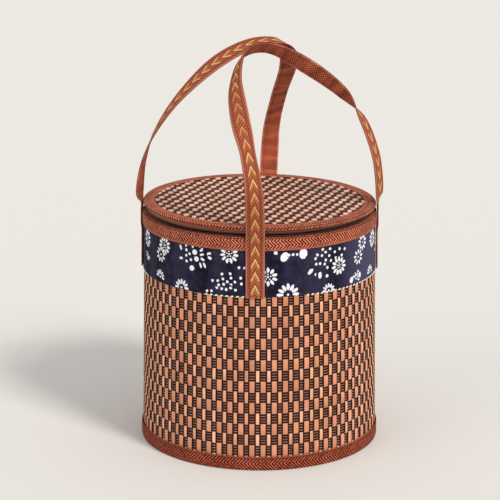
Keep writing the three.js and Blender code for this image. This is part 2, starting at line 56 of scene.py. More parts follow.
# Sizes that the CAD part has too
RIM_RADIUS = 120
FOOT_RADIUS = 123.5
RIM_HEIGHT = 240
WALL_FOOT = 0.9
WALL_TOP = 239.1
FOOT_TAPE_TOP = 14
FOOT_TAPE_INNER = 112.5
RIM_TAPE_FOOT = 227
TAPE = 0.6
BAND_FOOT = 180
BAND_DEPTH = 0.9
BAND_THICK = 0.4
LINING_DEPTH = 4.4
LINING = 0.4
ZIP_RADIUS = 114.9
ZIP_TAPE = 0.5
LID_UNDER = 244.6
STRAP_WIDTH = 19
STRAP_THICK = 1.7
STRAP_STEP = 8
STRAP_ANGLES = [-2, 88, 175.5, 268]
STRAP_RIM = 241
STRAP_RADIUS = 121.15
HINGE_ANGLE = 133
HINGE_HALF = 15
HINGE_RADIUS = 119.7
HINGE_HEIGHT = 242.3
LID_LIFT = 0.85                  # degrees the unzipped lid stands open

# Wall weave: slats of two widths, and four dark wefts to a row
SLAT_PAIRS = 68
SLAT_TURN = 360 / SLAT_PAIRS
FIRST_SLAT = 1.9
WIDE_SLAT = 5.5
NARROW_SLAT = 3.6
ROWS = 15
ROW_HEIGHT = 11.12
FIRST_ROW = 14.63
WEFTS_TO_A_ROW = 4
WEFT_HEIGHT = 2.1
SLAT_THICK = 0.45
WEFT_THICK = 0.3
SLAT_IN_FRONT = 1.42             # depths below the outside of the basket
SLAT_BEHIND = 2.25
WEFT_IN_FRONT = 1.85
WEFT_BEHIND = 2.35
SLAT_CROSSING = 0.8              # half the height over which a slat goes from front to back

# Lid weave
LID_SLAT_ANGLE = 11.6
LID_PITCH = 12.2
LID_ROW = 9.7
LID_WIDE = 6.2
LID_NARROW = 4.4
LID_SLAT_THICK = 0.35
LID_WEFT_THICK = 0.25
MAT_RADIUS = 111.2
MAT_FACE = 247.75

# Patterns in the cloth
TAPE_RIB = 3.4
ARROW_PITCH = 13.3
ARROW_SLOPE = 2.1
ARROW_HALF = 4.1
PLAIN_SIDE = 40                  # how far aside the UVs of the webbing's plain side lie
WORN_PLACE = 183                 # where a hand has worn the webbing, along it from its first end
RIM_PLACE = 78                   # where it has just left the rim
LIT_SIDE = 156                 # millimetres round from the front to where painted light makes the navy cloth palest

# Steps in which round shapes are turned
TAPE_STEPS = 136
LINING_STEPS = 96
ZIP_STEPS = 120

chance = random.Random(12)
# Left alone, noise_vector starts from the clock and differs from run to run
noise.seed_set(12)


def colour(red, green, blue):
    """A screen colour, 0 to 255, as the linear RGBA that a socket takes."""
    linear = [((c / 255 + 0.055) / 1.055) ** 2.4 if c > 10 else c / 255 / 12.92
              for c in (red, green, blue)]
    return (*linear, 1)


def outside(height):
    """Outside radius of the basket at a height."""
    return FOOT_RADIUS + (RIM_RADIUS - FOOT_RADIUS) * height / RIM_HEIGHT


def outward(angle):
    turn = math.radians(angle)
    return Vector((math.sin(turn), -math.cos(turn), 0))


def along_rim(angle):
    """The level direction that runs on round the basket at an angle."""
    return UP.cross(outward(angle))


def angle_of(point):
    return math.degrees(math.atan2(point.x, -point.y))


# Shader nodes


class Value:
    """What a node gives out. Arithmetic on it adds a node for each step."""

    def __init__(self, nodes, socket):
        self.nodes = nodes
        self.socket = socket

    def __add__(self, other):
        return self.nodes.maths("ADD", self, other)

    def __sub__(self, other):
        return self.nodes.maths("SUBTRACT", self, other)

    def __mul__(self, other):
        return self.nodes.maths("MULTIPLY", self, other)

    def __truediv__(self, other):
        return self.nodes.maths("DIVIDE", self, other)

    def __abs__(self):
        return self.nodes.maths("ABSOLUTE", self)


class Nodes:
    """Adds nodes to one node tree, each fed from numbers, colours or other nodes' values."""

    def __init__(self, tree):
        self.tree = tree

    def feed(self, socket, value):
        """Links a value to a socket, or sets the socket to a plain number or colour."""
        if isinstance(value, Value):
            self.tree.links.new(value.socket, socket)
        else:
            socket.default_value = value

    def node(self, kind, inputs, settings):
        node = self.tree.nodes.new("ShaderNode" + kind)
        for setting, value in settings.items():
            setattr(node, setting, value)
        for key, value in inputs.items():
            self.feed(node.inputs[key], value)
        return node

    def add(self, kind, inputs, output=0, **settings):
        """Adds a node and gives one of its values."""
        return Value(self, self.node(kind, inputs, settings).outputs[output])

    def add_all(self, kind, inputs, **settings):
        """Adds a node and gives all its values by name."""
        outputs = self.node(kind, inputs, settings).outputs
        return {socket.name: Value(self, socket) for socket in outputs}

    def maths(self, operation, *values):
        return self.add("Math", dict(enumerate(values)), operation=operation)

    def length(self, x, y):
        return self.maths("SQRT", x * x + y * y)

    def ripple(self, value):
        """A sine wave of the value, from 0 to 1."""
        return self.maths("SINE", value) * 0.5 + 0.5

    def between(self, value, low, high, new_low=0, new_high=1):
        """The value eased from one range into another, and held at its ends."""
        values = dict(enumerate((value, low, high, new_low, new_high)))
        return self.add("MapRange", values, interpolation_type="SMOOTHSTEP")

    def near(self, value, place, outer, inner, most=1):
        """The most within the inner distance of a place, and nothing past the outer one."""
        return self.between(abs(value - place), outer, inner, 0, most)

    def mix(self, share, first, second, how="MIX"):
        return self.add("Mix", {0: share, 6: first, 7: second}, 2, data_type="RGBA", blend_type=how)

    def shaded(self, shade, amount):
        """A colour made lighter or darker by a number."""
        return self.mix(1.0, shade, self.vector(amount, amount, amount), "MULTIPLY")

    def vector(self, x, y, z=0):
        return self.add("CombineXYZ", {0: x, 1: y, 2: z})

    def split(self, vector):
        """The three parts of a vector."""
        return list(self.add_all("SeparateXYZ", {0: vector}).values())

    def noise(self, vector, scale, detail=2, roughness=0.5):
        inputs = {"Vector": vector, "Scale": scale, "Detail": detail, "Roughness": roughness}
        return self.add("TexNoise", inputs)

    def ramp(self, value, *stops):
        """A colour that changes with a value, through stops of a value and a colour each."""
        shade = self.add("ValToRGB", {0: value})
        steps = shade.socket.node.color_ramp.elements
        while len(steps) < len(stops):
            steps.new(1)
        for step, (place, stop_colour) in zip(steps, stops):
            step.position = place
            step.color = stop_colour
        return shade

    def place_mm(self):
        """Object coordinates in millimetres, as three values."""
        spot = self.add("TexCoord", {}, "Object")
        return self.split(self.add("VectorMath", {0: spot, 1: (1 / MM,) * 3}, operation="MULTIPLY"))

    def attribute(self, name):
        return self.split(self.add("Attribute", {}, "Vector", attribute_name=name))

    def group(self, group, **inputs):
        return self.add_all("Group", inputs, node_tree=group)


def new_group(name, inputs, outputs):
    """An empty shader group: its nodes, its inputs' values by name, and its output node."""
    tree = bpy.data.node_groups.new(name, "ShaderNodeTree")
    for label, value in inputs.items():
        socket = tree.interface.new_socket(label, in_out="INPUT", socket_type="NodeSocketFloat")
        socket.default_value = value
    for label in outputs:
        tree.interface.new_socket(label, in_out="OUTPUT", socket_type="NodeSocketFloat")
    nodes = Nodes(tree)
    given = {socket.name: Value(nodes, socket) for socket in tree.nodes.new("NodeGroupInput").outputs}
    return nodes, given, tree.nodes.new("NodeGroupOutput")


def give(nodes, output, **values):
    """Links values to a group's outputs and gives the finished group."""
    for name, value in values.items():
        nodes.feed(output.inputs[name], value)
    return nodes.tree


def round_basket_group():
    """Where a point lies: millimetres round the rim, height, and distance from the axis."""
    nodes, _, output = new_group("Round the basket", {}, ["Around", "Height", "Radius"])
    x, y, z = nodes.place_mm()
    around = nodes.maths("ARCTAN2", x, y * -1) * RIM_RADIUS
    return give(nodes, output, Around=around, Height=z, Radius=nodes.length(x, y))


def bamboo_group():
    """Split bamboo: long fibres, fine pores, and a slow change along the slat."""
    nodes, given, output = new_group("Split bamboo", {"Across": 0, "Along": 0, "Strip": 0},
                                     ["Fibre", "Patch", "Tone"])
    along, strip = given["Along"], given["Strip"]
    fibres = nodes.noise(nodes.vector(given["Across"], along * 0.035, strip), 2.6, 4, 0.65)
    patch = nodes.noise(nodes.vector(along * 0.03, strip), 1.0)
    tone = nodes.add("TexWhiteNoise", {"W": strip}, "Value", noise_dimensions="1D")
    return give(nodes, output, Fibre=fibres, Patch=patch, Tone=tone)


def twill_group():
    """Herringbone tape: ribs that turn back each time they have gone the turn's width across."""
    sizes = {"Along": 0, "Across": 0, "Pitch": 2, "Slant": 1, "Turn": 5}
    nodes, given, output = new_group("Herringbone twill", sizes, ["Rib", "Thread"])
    turned_back = nodes.maths("PINGPONG", given["Across"], given["Turn"]) * given["Slant"]
    steps = (given["Along"] + turned_back) / given["Pitch"]
    uneven = nodes.noise(nodes.vector(nodes.maths("FLOOR", steps) * 1.7, given["Across"]), 0.7)
    return give(nodes, output, Rib=nodes.ripple(steps * math.tau), Thread=uneven)


def plain_weave_group():
    """Plain cloth: threads over and under each other."""
    nodes, given, output = new_group("Plain weave", {"Along": 0, "Across": 0, "Pitch": 0.6},
                                     ["Height", "Slub"])
    warp = nodes.maths("SINE", given["Along"] / given["Pitch"] * math.pi)
    weft = nodes.maths("SINE", given["Across"] / given["Pitch"] * math.pi)
    slub = nodes.noise(nodes.vector(given["Along"], given["Across"]), 0.12, 4, 0.6)
    return give(nodes, output, Height=warp * weft * 0.5 + 0.5, Slub=slub)


def petal_ring_group():
    """A ring of petals or dots about a centre: 1 inside them, 0 outside."""
    sizes = {"X": 0, "Y": 0, "Count": 8, "Radius": 5, "Length": 2, "Width": 1, "Facing": 0, "Opening": 180}
    nodes, given, output = new_group("Petal ring", sizes, ["Mask"])
    x, y, count, radius, length, width, facing, opening = (given[name] for name in sizes)
    turn = nodes.maths("ARCTAN2", y, x) - nodes.maths("RADIANS", facing)
    turn = nodes.maths("WRAP", turn, math.pi, -math.pi)
    distance = nodes.length(x, y)
    half_sector = nodes.maths("DIVIDE", math.pi, nodes.maths("MAXIMUM", count, 1))
    inside = nodes.maths("WRAP", turn, half_sector, half_sector * -1)
    out_along = (distance * nodes.maths("COSINE", inside) - radius) / length
    sideways = distance * nodes.maths("SINE", inside) / width
    shape = nodes.between(out_along * out_along + sideways * sideways, 1.15, 0.8)
    opened = nodes.maths("LESS_THAN", abs(turn), nodes.maths("RADIANS", opening))
    wanted = nodes.maths("GREATER_THAN", count, 0.5)
    return give(nodes, output, Mask=shape * opened * wanted)


ROUND_BASKET = round_basket_group()
SPLIT_BAMBOO = bamboo_group()
TWILL = twill_group()
PLAIN_WEAVE = plain_weave_group()
PETAL_RING = petal_ring_group()


# Materials


class Material(Nodes):
    """A new material with one Principled shader, and the nodes that paint it."""

    def __init__(self, name, roughness, **plain):
        self.material = bpy.data.materials.new(name)
        self.material.use_nodes = True
        super().__init__(self.material.node_tree)
        self.shader = self.tree.nodes["Principled BSDF"].inputs
        self.shader["Roughness"].default_value = roughness
        for socket, value in plain.items():
            self.shader[socket.replace("_", " ")].default_value = value

    def paint(self, shade, height, bump, depth, roughness=None):
        """Links the colour, the relief and any roughness, and gives the finished material."""
        self.feed(self.shader["Base Color"], shade)
        relief = self.add("Bump", {"Strength": bump, "Distance": depth, "Height": height})
        self.feed(self.shader["Normal"], relief)
        if roughness:
            self.feed(self.shader["Roughness"], roughness)
        return self.material


WIDE_SHADES = [colour(208, 136, 102), colour(226, 154, 120), colour(218, 148, 106), colour(238, 168, 136)]
NARROW_SHADES = [colour(222, 156, 120), colour(242, 180, 144), colour(234, 168, 126), colour(250, 192, 158)]
LID_SHADES = [colour(234, 177, 150), colour(244, 192, 166), colour(238, 183, 155), colour(252, 208, 186)]


def slat_material(nodes, across, along, strip, shades, painted_shade, dark):
    """Bamboo in four shades, one to a slat, darkened by painted shade where the mask says."""
    grain = nodes.group(SPLIT_BAMBOO, Across=across, Along=along, Strip=strip)
    base = nodes.ramp(grain["Tone"], *zip((0, 0.35, 0.7, 1), shades))
    base = nodes.shaded(base, nodes.between(grain["Patch"], 0.35, 0.65, 0.86, 1.08))
    base = nodes.shaded(base, nodes.between(grain["Fibre"], 0.3, 0.62, 0.72, 1.06))
    gloss = nodes.between(grain["Fibre"], 0.3, 0.7, 0.65, 0.48)
    return nodes.paint(nodes.mix(painted_shade, base, dark), grain["Fibre"], 0.25, 0.0003, gloss)


def wall_slat_material(name, shades, width, shift):
    nodes = Material(name, 0.7, Specular_IOR_Level=0.3)
    place = nodes.group(ROUND_BASKET)
    pitch = math.tau * RIM_RADIUS / SLAT_PAIRS
    counted = (place["Around"] - math.radians(FIRST_SLAT) * RIM_RADIUS) / pitch - shift
    whole = nodes.maths("ROUND", counted)
    # Painted shade darkens each slat along its split edges, beside the dark gaps between the slats
    aside = abs(counted - whole) / (width / 2 / pitch)
    painted_shade = nodes.between(aside, 0.76, 0.95, 0, 0.85)
    strip = whole + (shift + 0.13)
    return slat_material(nodes, place["Around"], place["Height"], strip, shades, painted_shade, colour(78, 24, 18))


def lid_slat_material(name, width, shift):
    nodes = Material(name, 0.7, Specular_IOR_Level=0.3)
    x, y, _ = nodes.place_mm()
    turn = math.radians(LID_SLAT_ANGLE)
    across = x * math.cos(turn) + y * math.sin(turn)
    along = y * math.cos(turn) - x * math.sin(turn)
    counted = across / LID_PITCH - shift
    whole = nodes.maths("ROUND", counted)
    # Painted shade darkens two corners of every square that a slat shows, where the raised slats' shadows
    # would fall
    aside = (counted - whole) / (width / 2 / LID_PITCH)
    ahead = nodes.maths("FRACT", along / LID_ROW) * 2 - 1
    painted_shade = nodes.between(abs(ahead - aside), 0.85, 1.4, 0, 0.92)
    strip = whole + (shift + 0.29)
    return slat_material(nodes, across, along, strip, LID_SHADES, painted_shade, colour(86, 40, 28))


def weft_material(name, dark, light):
    """Stained split wefts, dark with a dull shine; their lighter patches are partly the cane showing and
    partly painted highlight.
    """
    nodes = Material(name, 0.7, Specular_IOR_Level=0.25)
    place = nodes.group(ROUND_BASKET)
    run = nodes.vector(place["Around"] * 0.05, place["Height"], place["Radius"] * 0.05)
    wear_and_highlight = nodes.noise(run, 1.4, 4, 0.7)
    return nodes.paint(nodes.ramp(wear_and_highlight, (0.62, dark), (0.85, light)), wear_and_highlight, 0.2, 0.0002)


def tape_material(name, fold, turn, slant, selvedge, seam, tint=(1, 1, 1)):
    """Terracotta herringbone tape, its light and dark threads showing as slanting ribs. Across the tape is
    height less radius: its ribs turn back at the fold, and it ends at the selvedge. Along the seam, where it
    is drawn in, a dark line of painted shade stands for the shadow in its crease."""
    nodes = Material(name, 0.9, Specular_IOR_Level=0.12)
    place = nodes.group(ROUND_BASKET)
    around = place["Around"]
    across = place["Height"] - place["Radius"]
    cloth = nodes.group(TWILL, Along=around, Across=across - fold, Pitch=TAPE_RIB, Slant=slant, Turn=turn)
    fine = nodes.group(PLAIN_WEAVE, Along=around, Across=across, Pitch=0.5)
    rib = cloth["Rib"] * nodes.between(cloth["Thread"], 0.3, 0.65, 0.55, 1.15)
    base = nodes.ramp(rib, (0.12, colour(74, 16, 8)), (0.35, colour(134, 54, 36)),
                      (0.7, colour(202, 118, 90)), (1, colour(234, 158, 128)))
    base = nodes.mix(nodes.near(across, selvedge, 2.2, 1, 0.7), base, colour(198, 112, 84))
    # Painted shade: a dark line in the crease along the seam
    base = nodes.mix(nodes.near(across, seam, 0.9, 0.35, 0.75), base, colour(92, 30, 18))
    fading_and_painted_light = nodes.between(nodes.noise(nodes.vector(around, across), 0.05, 3), 0.3, 0.7, 0.84, 1.08)
    # The tint can darken the tape: for the foot it is mostly painted shade
    base = nodes.mix(1.0, base, nodes.vector(*(fading_and_painted_light * part for part in tint)), "MULTIPLY")
    return nodes.paint(base, cloth["Rib"] + fine["Height"] * 0.4, 0.7, 0.0004)


def thread_material(name, dark, light):
    """Sewing thread, twisted from two plies."""
    nodes = Material(name, 0.6, Sheen_Weight=0.3)
    place = nodes.group(ROUND_BASKET)
    ply = nodes.ripple((place["Around"] + place["Height"] * 1.4) * 9)
    return nodes.paint(nodes.mix(ply, dark, light), ply, 0.4, 0.0002)


def print_material():
    """Navy cotton with white flowers, drawn on each motif's own patch of the cloth."""
    nodes = Material("Navy printed cotton", 0.92, Specular_IOR_Level=0.12)
    x, y, _ = nodes.split(nodes.add("UVMap", {}, uv_map="motif"))
    place = nodes.group(ROUND_BASKET)
    around = place["Around"]
    # The outlines wander a little, as hand printing does
    drift = nodes.noise(nodes.vector(around, place["Height"]), 0.45) * 1.6 - 0.8
    x = x + drift
    y = y - drift
    widths = nodes.attribute("petal_widths")
    fan = nodes.attribute("petal_fan")
    white = nodes.between(nodes.length(x, y) - widths[2], 0.1, -0.15)
    for name, width, opening in (("petals", widths[0], fan[1]), ("inner_petals", widths[1], fan[2])):
        count, radius, length = nodes.attribute(name)
        ring = nodes.group(PETAL_RING, X=x, Y=y, Count=count, Radius=radius, Length=length, Width=width,
                           Facing=fan[0], Opening=opening)
        white = nodes.maths("MAXIMUM", white, ring["Mask"])
    cloth = nodes.group(PLAIN_WEAVE, Along=around, Across=place["Height"], Pitch=0.45)
    patches = nodes.between(nodes.noise(nodes.vector(around, 0), 0.028, 1), 0.38, 0.62)
    wear_and_highlight = nodes.between(cloth["Slub"], 0.35, 0.7) * 0.22 + patches * 0.25
    # Painted light: the navy is painted paler towards the lit side and darker away from it, mixed with the
    # cloth's wear
    toward_light = nodes.maths("COSINE", (around - LIT_SIDE) / RIM_RADIUS)
    fading_and_painted_light = nodes.between(toward_light, 0.78, 1) * 0.8 + wear_and_highlight * 0.3
    navy = nodes.mix(nodes.maths("MAXIMUM", wear_and_highlight, fading_and_painted_light), colour(14, 12, 32), colour(76, 72, 100))
    ink = nodes.mix(cloth["Height"], colour(232, 230, 244), colour(252, 252, 255))
    return nodes.paint(nodes.mix(white, navy, ink), cloth["Height"], 0.35, 0.0002)


def webbing_material():
    """Terracotta webbing, its right side with cream and gold arrowheads woven up the middle."""
    nodes = Material("Jacquard webbing", 0.85, Specular_IOR_Level=0.15)
    side, along, _ = nodes.split(nodes.add("UVMap", {}, uv_map="webbing"))
    right_side = nodes.maths("LESS_THAN", side, PLAIN_SIDE / 2)
    side = side + (right_side - 1) * PLAIN_SIDE
    off = abs(side)
    # Ground: two sets of slanting ribs that cross, with a line of long threads near each side
    first = nodes.maths("SINE", (along + side) * (math.tau / 3))
    second = nodes.maths("SINE", (along - side) * (math.tau / 3.7))
    rib = nodes.maths("MAXIMUM", first, second * 0.8) * 0.5 + 0.5
    uneven = nodes.noise(nodes.vector(side * 1.5, along), 0.7, 3)
    ground = nodes.ramp(rib * 0.7 + uneven * 0.4, (0.35, colour(88, 24, 12)), (0.6, colour(146, 66, 42)),
                        (0.95, colour(188, 108, 80)))
    dashes = nodes.between(nodes.maths("SINE", along * (math.tau / 2.9)), -0.4, 0.2)
    ground = nodes.mix(nodes.near(off, 5.7, 0.7, 0.3, 0.7) * dashes, ground, colour(96, 26, 16))
    ground = nodes.mix(nodes.near(off, 8.7, 0.6, 0.3, 0.6), ground, colour(214, 146, 116))
    # Painted shade: a dark line down each side edge of the webbing
    ground = nodes.mix(nodes.between(off, 9.2, 9.45, 0, 0.75), ground, colour(84, 34, 24))
    # The plain side has bands of painted shade across it, where it creases, and is lighter towards its first
    # end; the right side is darkest near the rim
    bands = nodes.noise(nodes.vector(side * 0.25, along), 0.11, 3, 0.6)
    wear_and_painted_shade = nodes.between(bands, 0.36, 0.66, 0.72, 1.45) * nodes.between(along, 110, 160, 1.38, 0.92)
    near_rim = nodes.near(along, RIM_PLACE, 40, 16)
    tone = nodes.add("Mix", {0: right_side, 2: wear_and_painted_shade, 3: near_rim * -0.22 + 1}, data_type="FLOAT")
    ground = nodes.shaded(ground, tone)
    # Arrowheads, worn thin in one place
    phase = nodes.maths("FRACT", (along + off * ARROW_SLOPE) / ARROW_PITCH)
    shown = nodes.maths("LESS_THAN", off, ARROW_HALF) * right_side
    left = nodes.near(along, WORN_PLACE, 40, 20, -0.55) + 1
    threads = nodes.between(uneven, 0.3, 0.6, 0.55, 1) * left * shown
    gold = nodes.between(phase, 0.25, 0.8) * nodes.between(off, ARROW_HALF, 0.5, 0.45, 1)
    cream = nodes.between(phase, 0.8, 0.88) * nodes.between(phase, 1, 0.97) * (near_rim * -0.55 + 1)
    picked = nodes.mix(gold * threads, ground, colour(190, 126, 52))
    picked = nodes.mix(cream * threads, picked, colour(244, 214, 156))
    fine = nodes.maths("SINE", along * (math.tau / 0.8))
    return nodes.paint(picked, fine * 0.3 + rib + shown * 0.6, 0.5, 0.0004)


def lining_material():
    nodes = Material("Tan lining cotton", 0.9, Sheen_Weight=0.2)
    x, y, z = nodes.place_mm()
    cloth = nodes.group(PLAIN_WEAVE, Along=x + z, Across=y + z, Pitch=0.7)
    shade = nodes.mix(nodes.between(cloth["Slub"], 0.3, 0.7), colour(180, 136, 102), colour(190, 146, 111))
    return nodes.paint(shade, cloth["Height"], 0.4, 0.0003)


def card_material():
    """Grey-brown board, pressed from short fibres."""
    nodes = Material("Pressed card", 0.93)
    spot = nodes.vector(*nodes.place_mm())
    speck = nodes.noise(spot, 1.3, 5, 0.7)
    shade = nodes.ramp(speck, (0.25, colour(58, 36, 26)), (0.55, colour(88, 60, 44)),
                       (0.8, colour(118, 88, 66)))
    shade = nodes.shaded(shade, nodes.between(nodes.noise(spot, 0.06), 0.3, 0.7, 0.85, 1.1))
    return nodes.paint(shade, speck, 0.3, 0.0003)


def zip_tape_material():
    nodes = Material("Zip tape", 0.85, Sheen_Weight=0.2)
    ridge = nodes.ripple(nodes.group(ROUND_BASKET)["Height"] * 3.4)
    return nodes.paint(nodes.mix(ridge, colour(96, 44, 30), colour(164, 92, 62)), ridge, 0.4, 0.0002)


def coil_material():
    """Dark nylon teeth, scuffed paler where the slider runs."""
    nodes = Material("Nylon coil", 0.4)
    place = nodes.group(ROUND_BASKET)
    wear_and_painted_shade = nodes.noise(nodes.vector(place["Around"], place["Height"]), 0.4, 3)
    shade = nodes.ramp(wear_and_painted_shade, (0.35, colour(40, 16, 13)), (0.75, colour(88, 44, 36)))
    return nodes.paint(shade, wear_and_painted_shade, 0.15, 0.0001)


def brass_material():
    """Aged brass: brown in the hollows, bright where it is handled."""
    nodes = Material("Aged brass", 0.35, Metallic=1)
    tarnish = nodes.noise(nodes.vector(*nodes.place_mm()), 0.8, 5, 0.6)
    shade = nodes.ramp(tarnish, (0.3, colour(96, 70, 36)), (0.55, colour(150, 116, 62)),
                       (0.8, colour(196, 160, 98)))
    return nodes.paint(shade, tarnish, 0.15, 0.0002, nodes.between(tarnish, 0.3, 0.8, 0.55, 0.28))


MATERIALS = {
    "wide slats": wall_slat_material("Wide bamboo slats", WIDE_SHADES, WIDE_SLAT, 0),
    "narrow slats": wall_slat_material("Narrow bamboo slats", NARROW_SHADES, NARROW_SLAT, 0.5),
    "lid wide slats": lid_slat_material("Lid wide slats", LID_WIDE, 0),
    "lid narrow slats": lid_slat_material("Lid narrow slats", LID_NARROW, 0.5),
    # The wefts' lighter colour is partly painted highlight
    "wefts": weft_material("Stained wefts", colour(40, 5, 9), colour(100, 34, 32)),
    "lid wefts": weft_material("Stained lid wefts", colour(66, 26, 16), colour(120, 68, 50)),
    "rim tape": tape_material("Rim tape", 112, 5, 1, 107.3, 119.6, (0.95, 0.9, 0.88)),
    # The foot tape's tint is partly its redder colour and mostly painted shade that darkens the foot
    "foot tape": tape_material("Foot tape", -116.5, 7, -1, -109.5, -111, (0.66, 0.48, 0.44)),
    "lid tape": tape_material("Lid tape", 131, 5, 1, 141, 130.2),
    # The brown thread's dark colour is partly painted shade, for the needle holes and the shadows about the
    # stitches
    "brown thread": thread_material("Brown thread", colour(84, 28, 18), colour(128, 56, 38)),
    "white thread": thread_material("White thread", colour(222, 218, 206), colour(250, 248, 238)),
    "print": print_material(),
    "webbing": webbing_material(),
    "lining": lining_material(),
    "card": card_material(),
    "zip tape": zip_tape_material(),
    "coil": coil_material(),
    "brass": brass_material(),
}


# Shapes


def rolled_strip(bm, section, stations, right_side=0):
    """A grid rolled up into a closed strip. Section points (side, up) go round it, stations
    (centre, across, face) along it. With right_side, UVs are given in millimetres, and that
    many of its first faces round are the right side."""
    around, along = len(section), len(stations) - 1
    grid = bmesh.ops.create_grid(bm, x_segments=around, y_segments=along, size=0.5)["verts"]
    spots = {}
    for vert in grid:
        column = round((vert.co.x + 0.5) * around)
        row = round((vert.co.y + 0.5) * along)
        centre, across, face = stations[row]
        side, up = section[column % around]
        vert.co = centre + across * side + face * up
        spots[vert] = (column, row, side)
    if right_side:
        lengths = [0.0]
        for (start, *_), (end, *_) in zip(stations, stations[1:]):
            lengths.append(lengths[-1] + (end - start).length)
        layer = bm.loops.layers.uv["webbing"]
        for face in {face for vert in grid for face in vert.link_faces}:
            first = min(spots[vert][0] for vert in face.verts)
            shift = 0 if first < right_side else PLAIN_SIDE
            for loop in face.loops:
                _, row, side = spots[loop.vert]
                loop[layer].uv = (side + shift, lengths[row])
    return grid


def turned(bm, profile, steps, closed=True):
    """Profile points (radius, height) turned about the basket's axis."""
    corners = [bm.verts.new((0, -radius, height)) for radius, height in profile]
    ends = corners[1:] + corners[:1] if closed else corners[1:]
    edges = [bm.edges.new(pair) for pair in zip(corners, ends)]
    bmesh.ops.spin(bm, geom=corners + edges, cent=(0, 0, 0), axis=UP, angle=math.tau, steps=steps,
                   use_merge=True)


def add_ring(bm, profile, steps):
    """A closed profile turned in a mesh of its own, then joined on, which is quick for many rings."""
    ring = bmesh.new()
    turned(ring, profile, steps)
    mesh = bpy.data.meshes.new("ring")
    ring.to_mesh(mesh)
    ring.free()
    bm.from_mesh(mesh)
    bpy.data.meshes.remove(mesh)


def part_turned(bm, profile, start, end, steps):
    """Profile points turned from one angle round to another."""
    first = bm.faces.new([bm.verts.new(outward(start) * radius + UP * height) for radius, height in profile])
    bmesh.ops.spin(bm, geom=[first], cent=(0, 0, 0), axis=UP, angle=math.radians(end - start), steps=steps)


def copied_round(bm, count, turn):
    """What the mesh holds, copied on round the axis, count times in all."""
    bmesh.ops.spin(bm, geom=bm.verts[:] + bm.edges[:] + bm.faces[:], cent=(0, 0, 0), axis=UP,
                   angle=math.radians(turn * (count - 1)), steps=count - 1, use_duplicate=True)


def soften(bm, amount, wave):
    """Moves points a little, in long soft waves, as sewn cloth lies."""
    for vert in bm.verts:
        vert.co += noise.noise_vector(vert.co / wave) * amount


def lift_lid(bm):
    """Turns what lies on the lid about the fold of its hinge, to where the lid stands."""
    fold = outward(HINGE_ANGLE) * HINGE_RADIUS + UP * HINGE_HEIGHT
    turn = Matrix.Rotation(math.radians(LID_LIFT), 3, along_rim(HINGE_ANGLE))
    bmesh.ops.rotate(bm, verts=bm.verts, cent=fold, matrix=turn)


def finished(bm, name, material, body, stands_for, sharp=40):
    """The mesh closed, turned to metres and made a piece. It rides on a body, if one is named."""
    bmesh.ops.remove_doubles(bm, verts=bm.verts, dist=0.002)
    bmesh.ops.holes_fill(bm, edges=bm.edges, sides=0)
    bmesh.ops.recalc_face_normals(bm, faces=bm.faces)
    if body == "lid":
        lift_lid(bm)
    bmesh.ops.transform(bm, matrix=Matrix.Scale(MM, 4), verts=bm.verts)
    mesh = bpy.data.meshes.new(name)
    bm.to_mesh(mesh)
    bm.free()
    mesh.shade_smooth()
    mesh.set_sharp_from_angle(angle=math.radians(sharp))
    mesh.materials.append(MATERIALS[material])
    piece = bpy.data.objects.new(name, mesh)
    bpy.context.scene.collection.objects.link(piece)
    if body:
        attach(piece, body)
    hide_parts(*stands_for)
    return piece


# Woven wall


def row_foot(row):
    return FIRST_ROW + row * ROW_HEIGHT


def slat_section(width, thick):
    """A slat's rounded face and flat back, as (side, up) points, the face at 0."""
    half, round_edge, edge_drop = width / 2, 0.6, 0.16
    return [(-half, -thick), (-half, -edge_drop), (round_edge - half, 0), (half - round_edge, 0),
            (half, -edge_drop), (half, -thick)]


def wall_slats(width, first_angle, first_front):
    """One slat woven over and under the wefts, then copied round the wall."""
    heights = [(WALL_FOOT, SLAT_BEHIND), (row_foot(0) - 2 * SLAT_CROSSING, SLAT_BEHIND)]
    for row in range(ROWS):
        in_front = row % 2 == first_front
        depth = SLAT_IN_FRONT if in_front else SLAT_BEHIND
        heights.append((row_foot(row) + SLAT_CROSSING, depth))
        if in_front:
            heights.append((row_foot(row) + ROW_HEIGHT / 2, depth - 0.1))
        heights.append((row_foot(row + 1) - SLAT_CROSSING, depth))
    heights += [(row_foot(ROWS) + 2 * SLAT_CROSSING, SLAT_BEHIND), (WALL_TOP, SLAT_BEHIND)]
    stations = [(outward(0) * (outside(height) - depth) + UP * height, along_rim(0), outward(0))
                for height, depth in heights]
    bm = bmesh.new()
    rolled_strip(bm, slat_section(width, SLAT_THICK), stations)
    copied_round(bm, SLAT_PAIRS, SLAT_TURN)
    # Split slats are never quite the same: each gets its own width, place and lean
    habits = [(chance.uniform(0.95, 1.04), chance.uniform(-0.1, 0.1), chance.uniform(-0.12, 0.12))
              for _ in range(SLAT_PAIRS)]
    for vert in bm.verts:
        angle = angle_of(vert.co)
        slat = round(angle / SLAT_TURN)
        grow, shift, lean = habits[slat % SLAT_PAIRS]
        side = math.radians(angle - slat * SLAT_TURN) * RIM_RADIUS
        sway = shift + lean * (vert.co.z / RIM_HEIGHT - 0.5) * 2
        turn = (side * (grow - 1) + sway) / RIM_RADIUS + math.radians(first_angle)
        vert.co = Matrix.Rotation(turn, 3, "Z") @ vert.co
    return bm


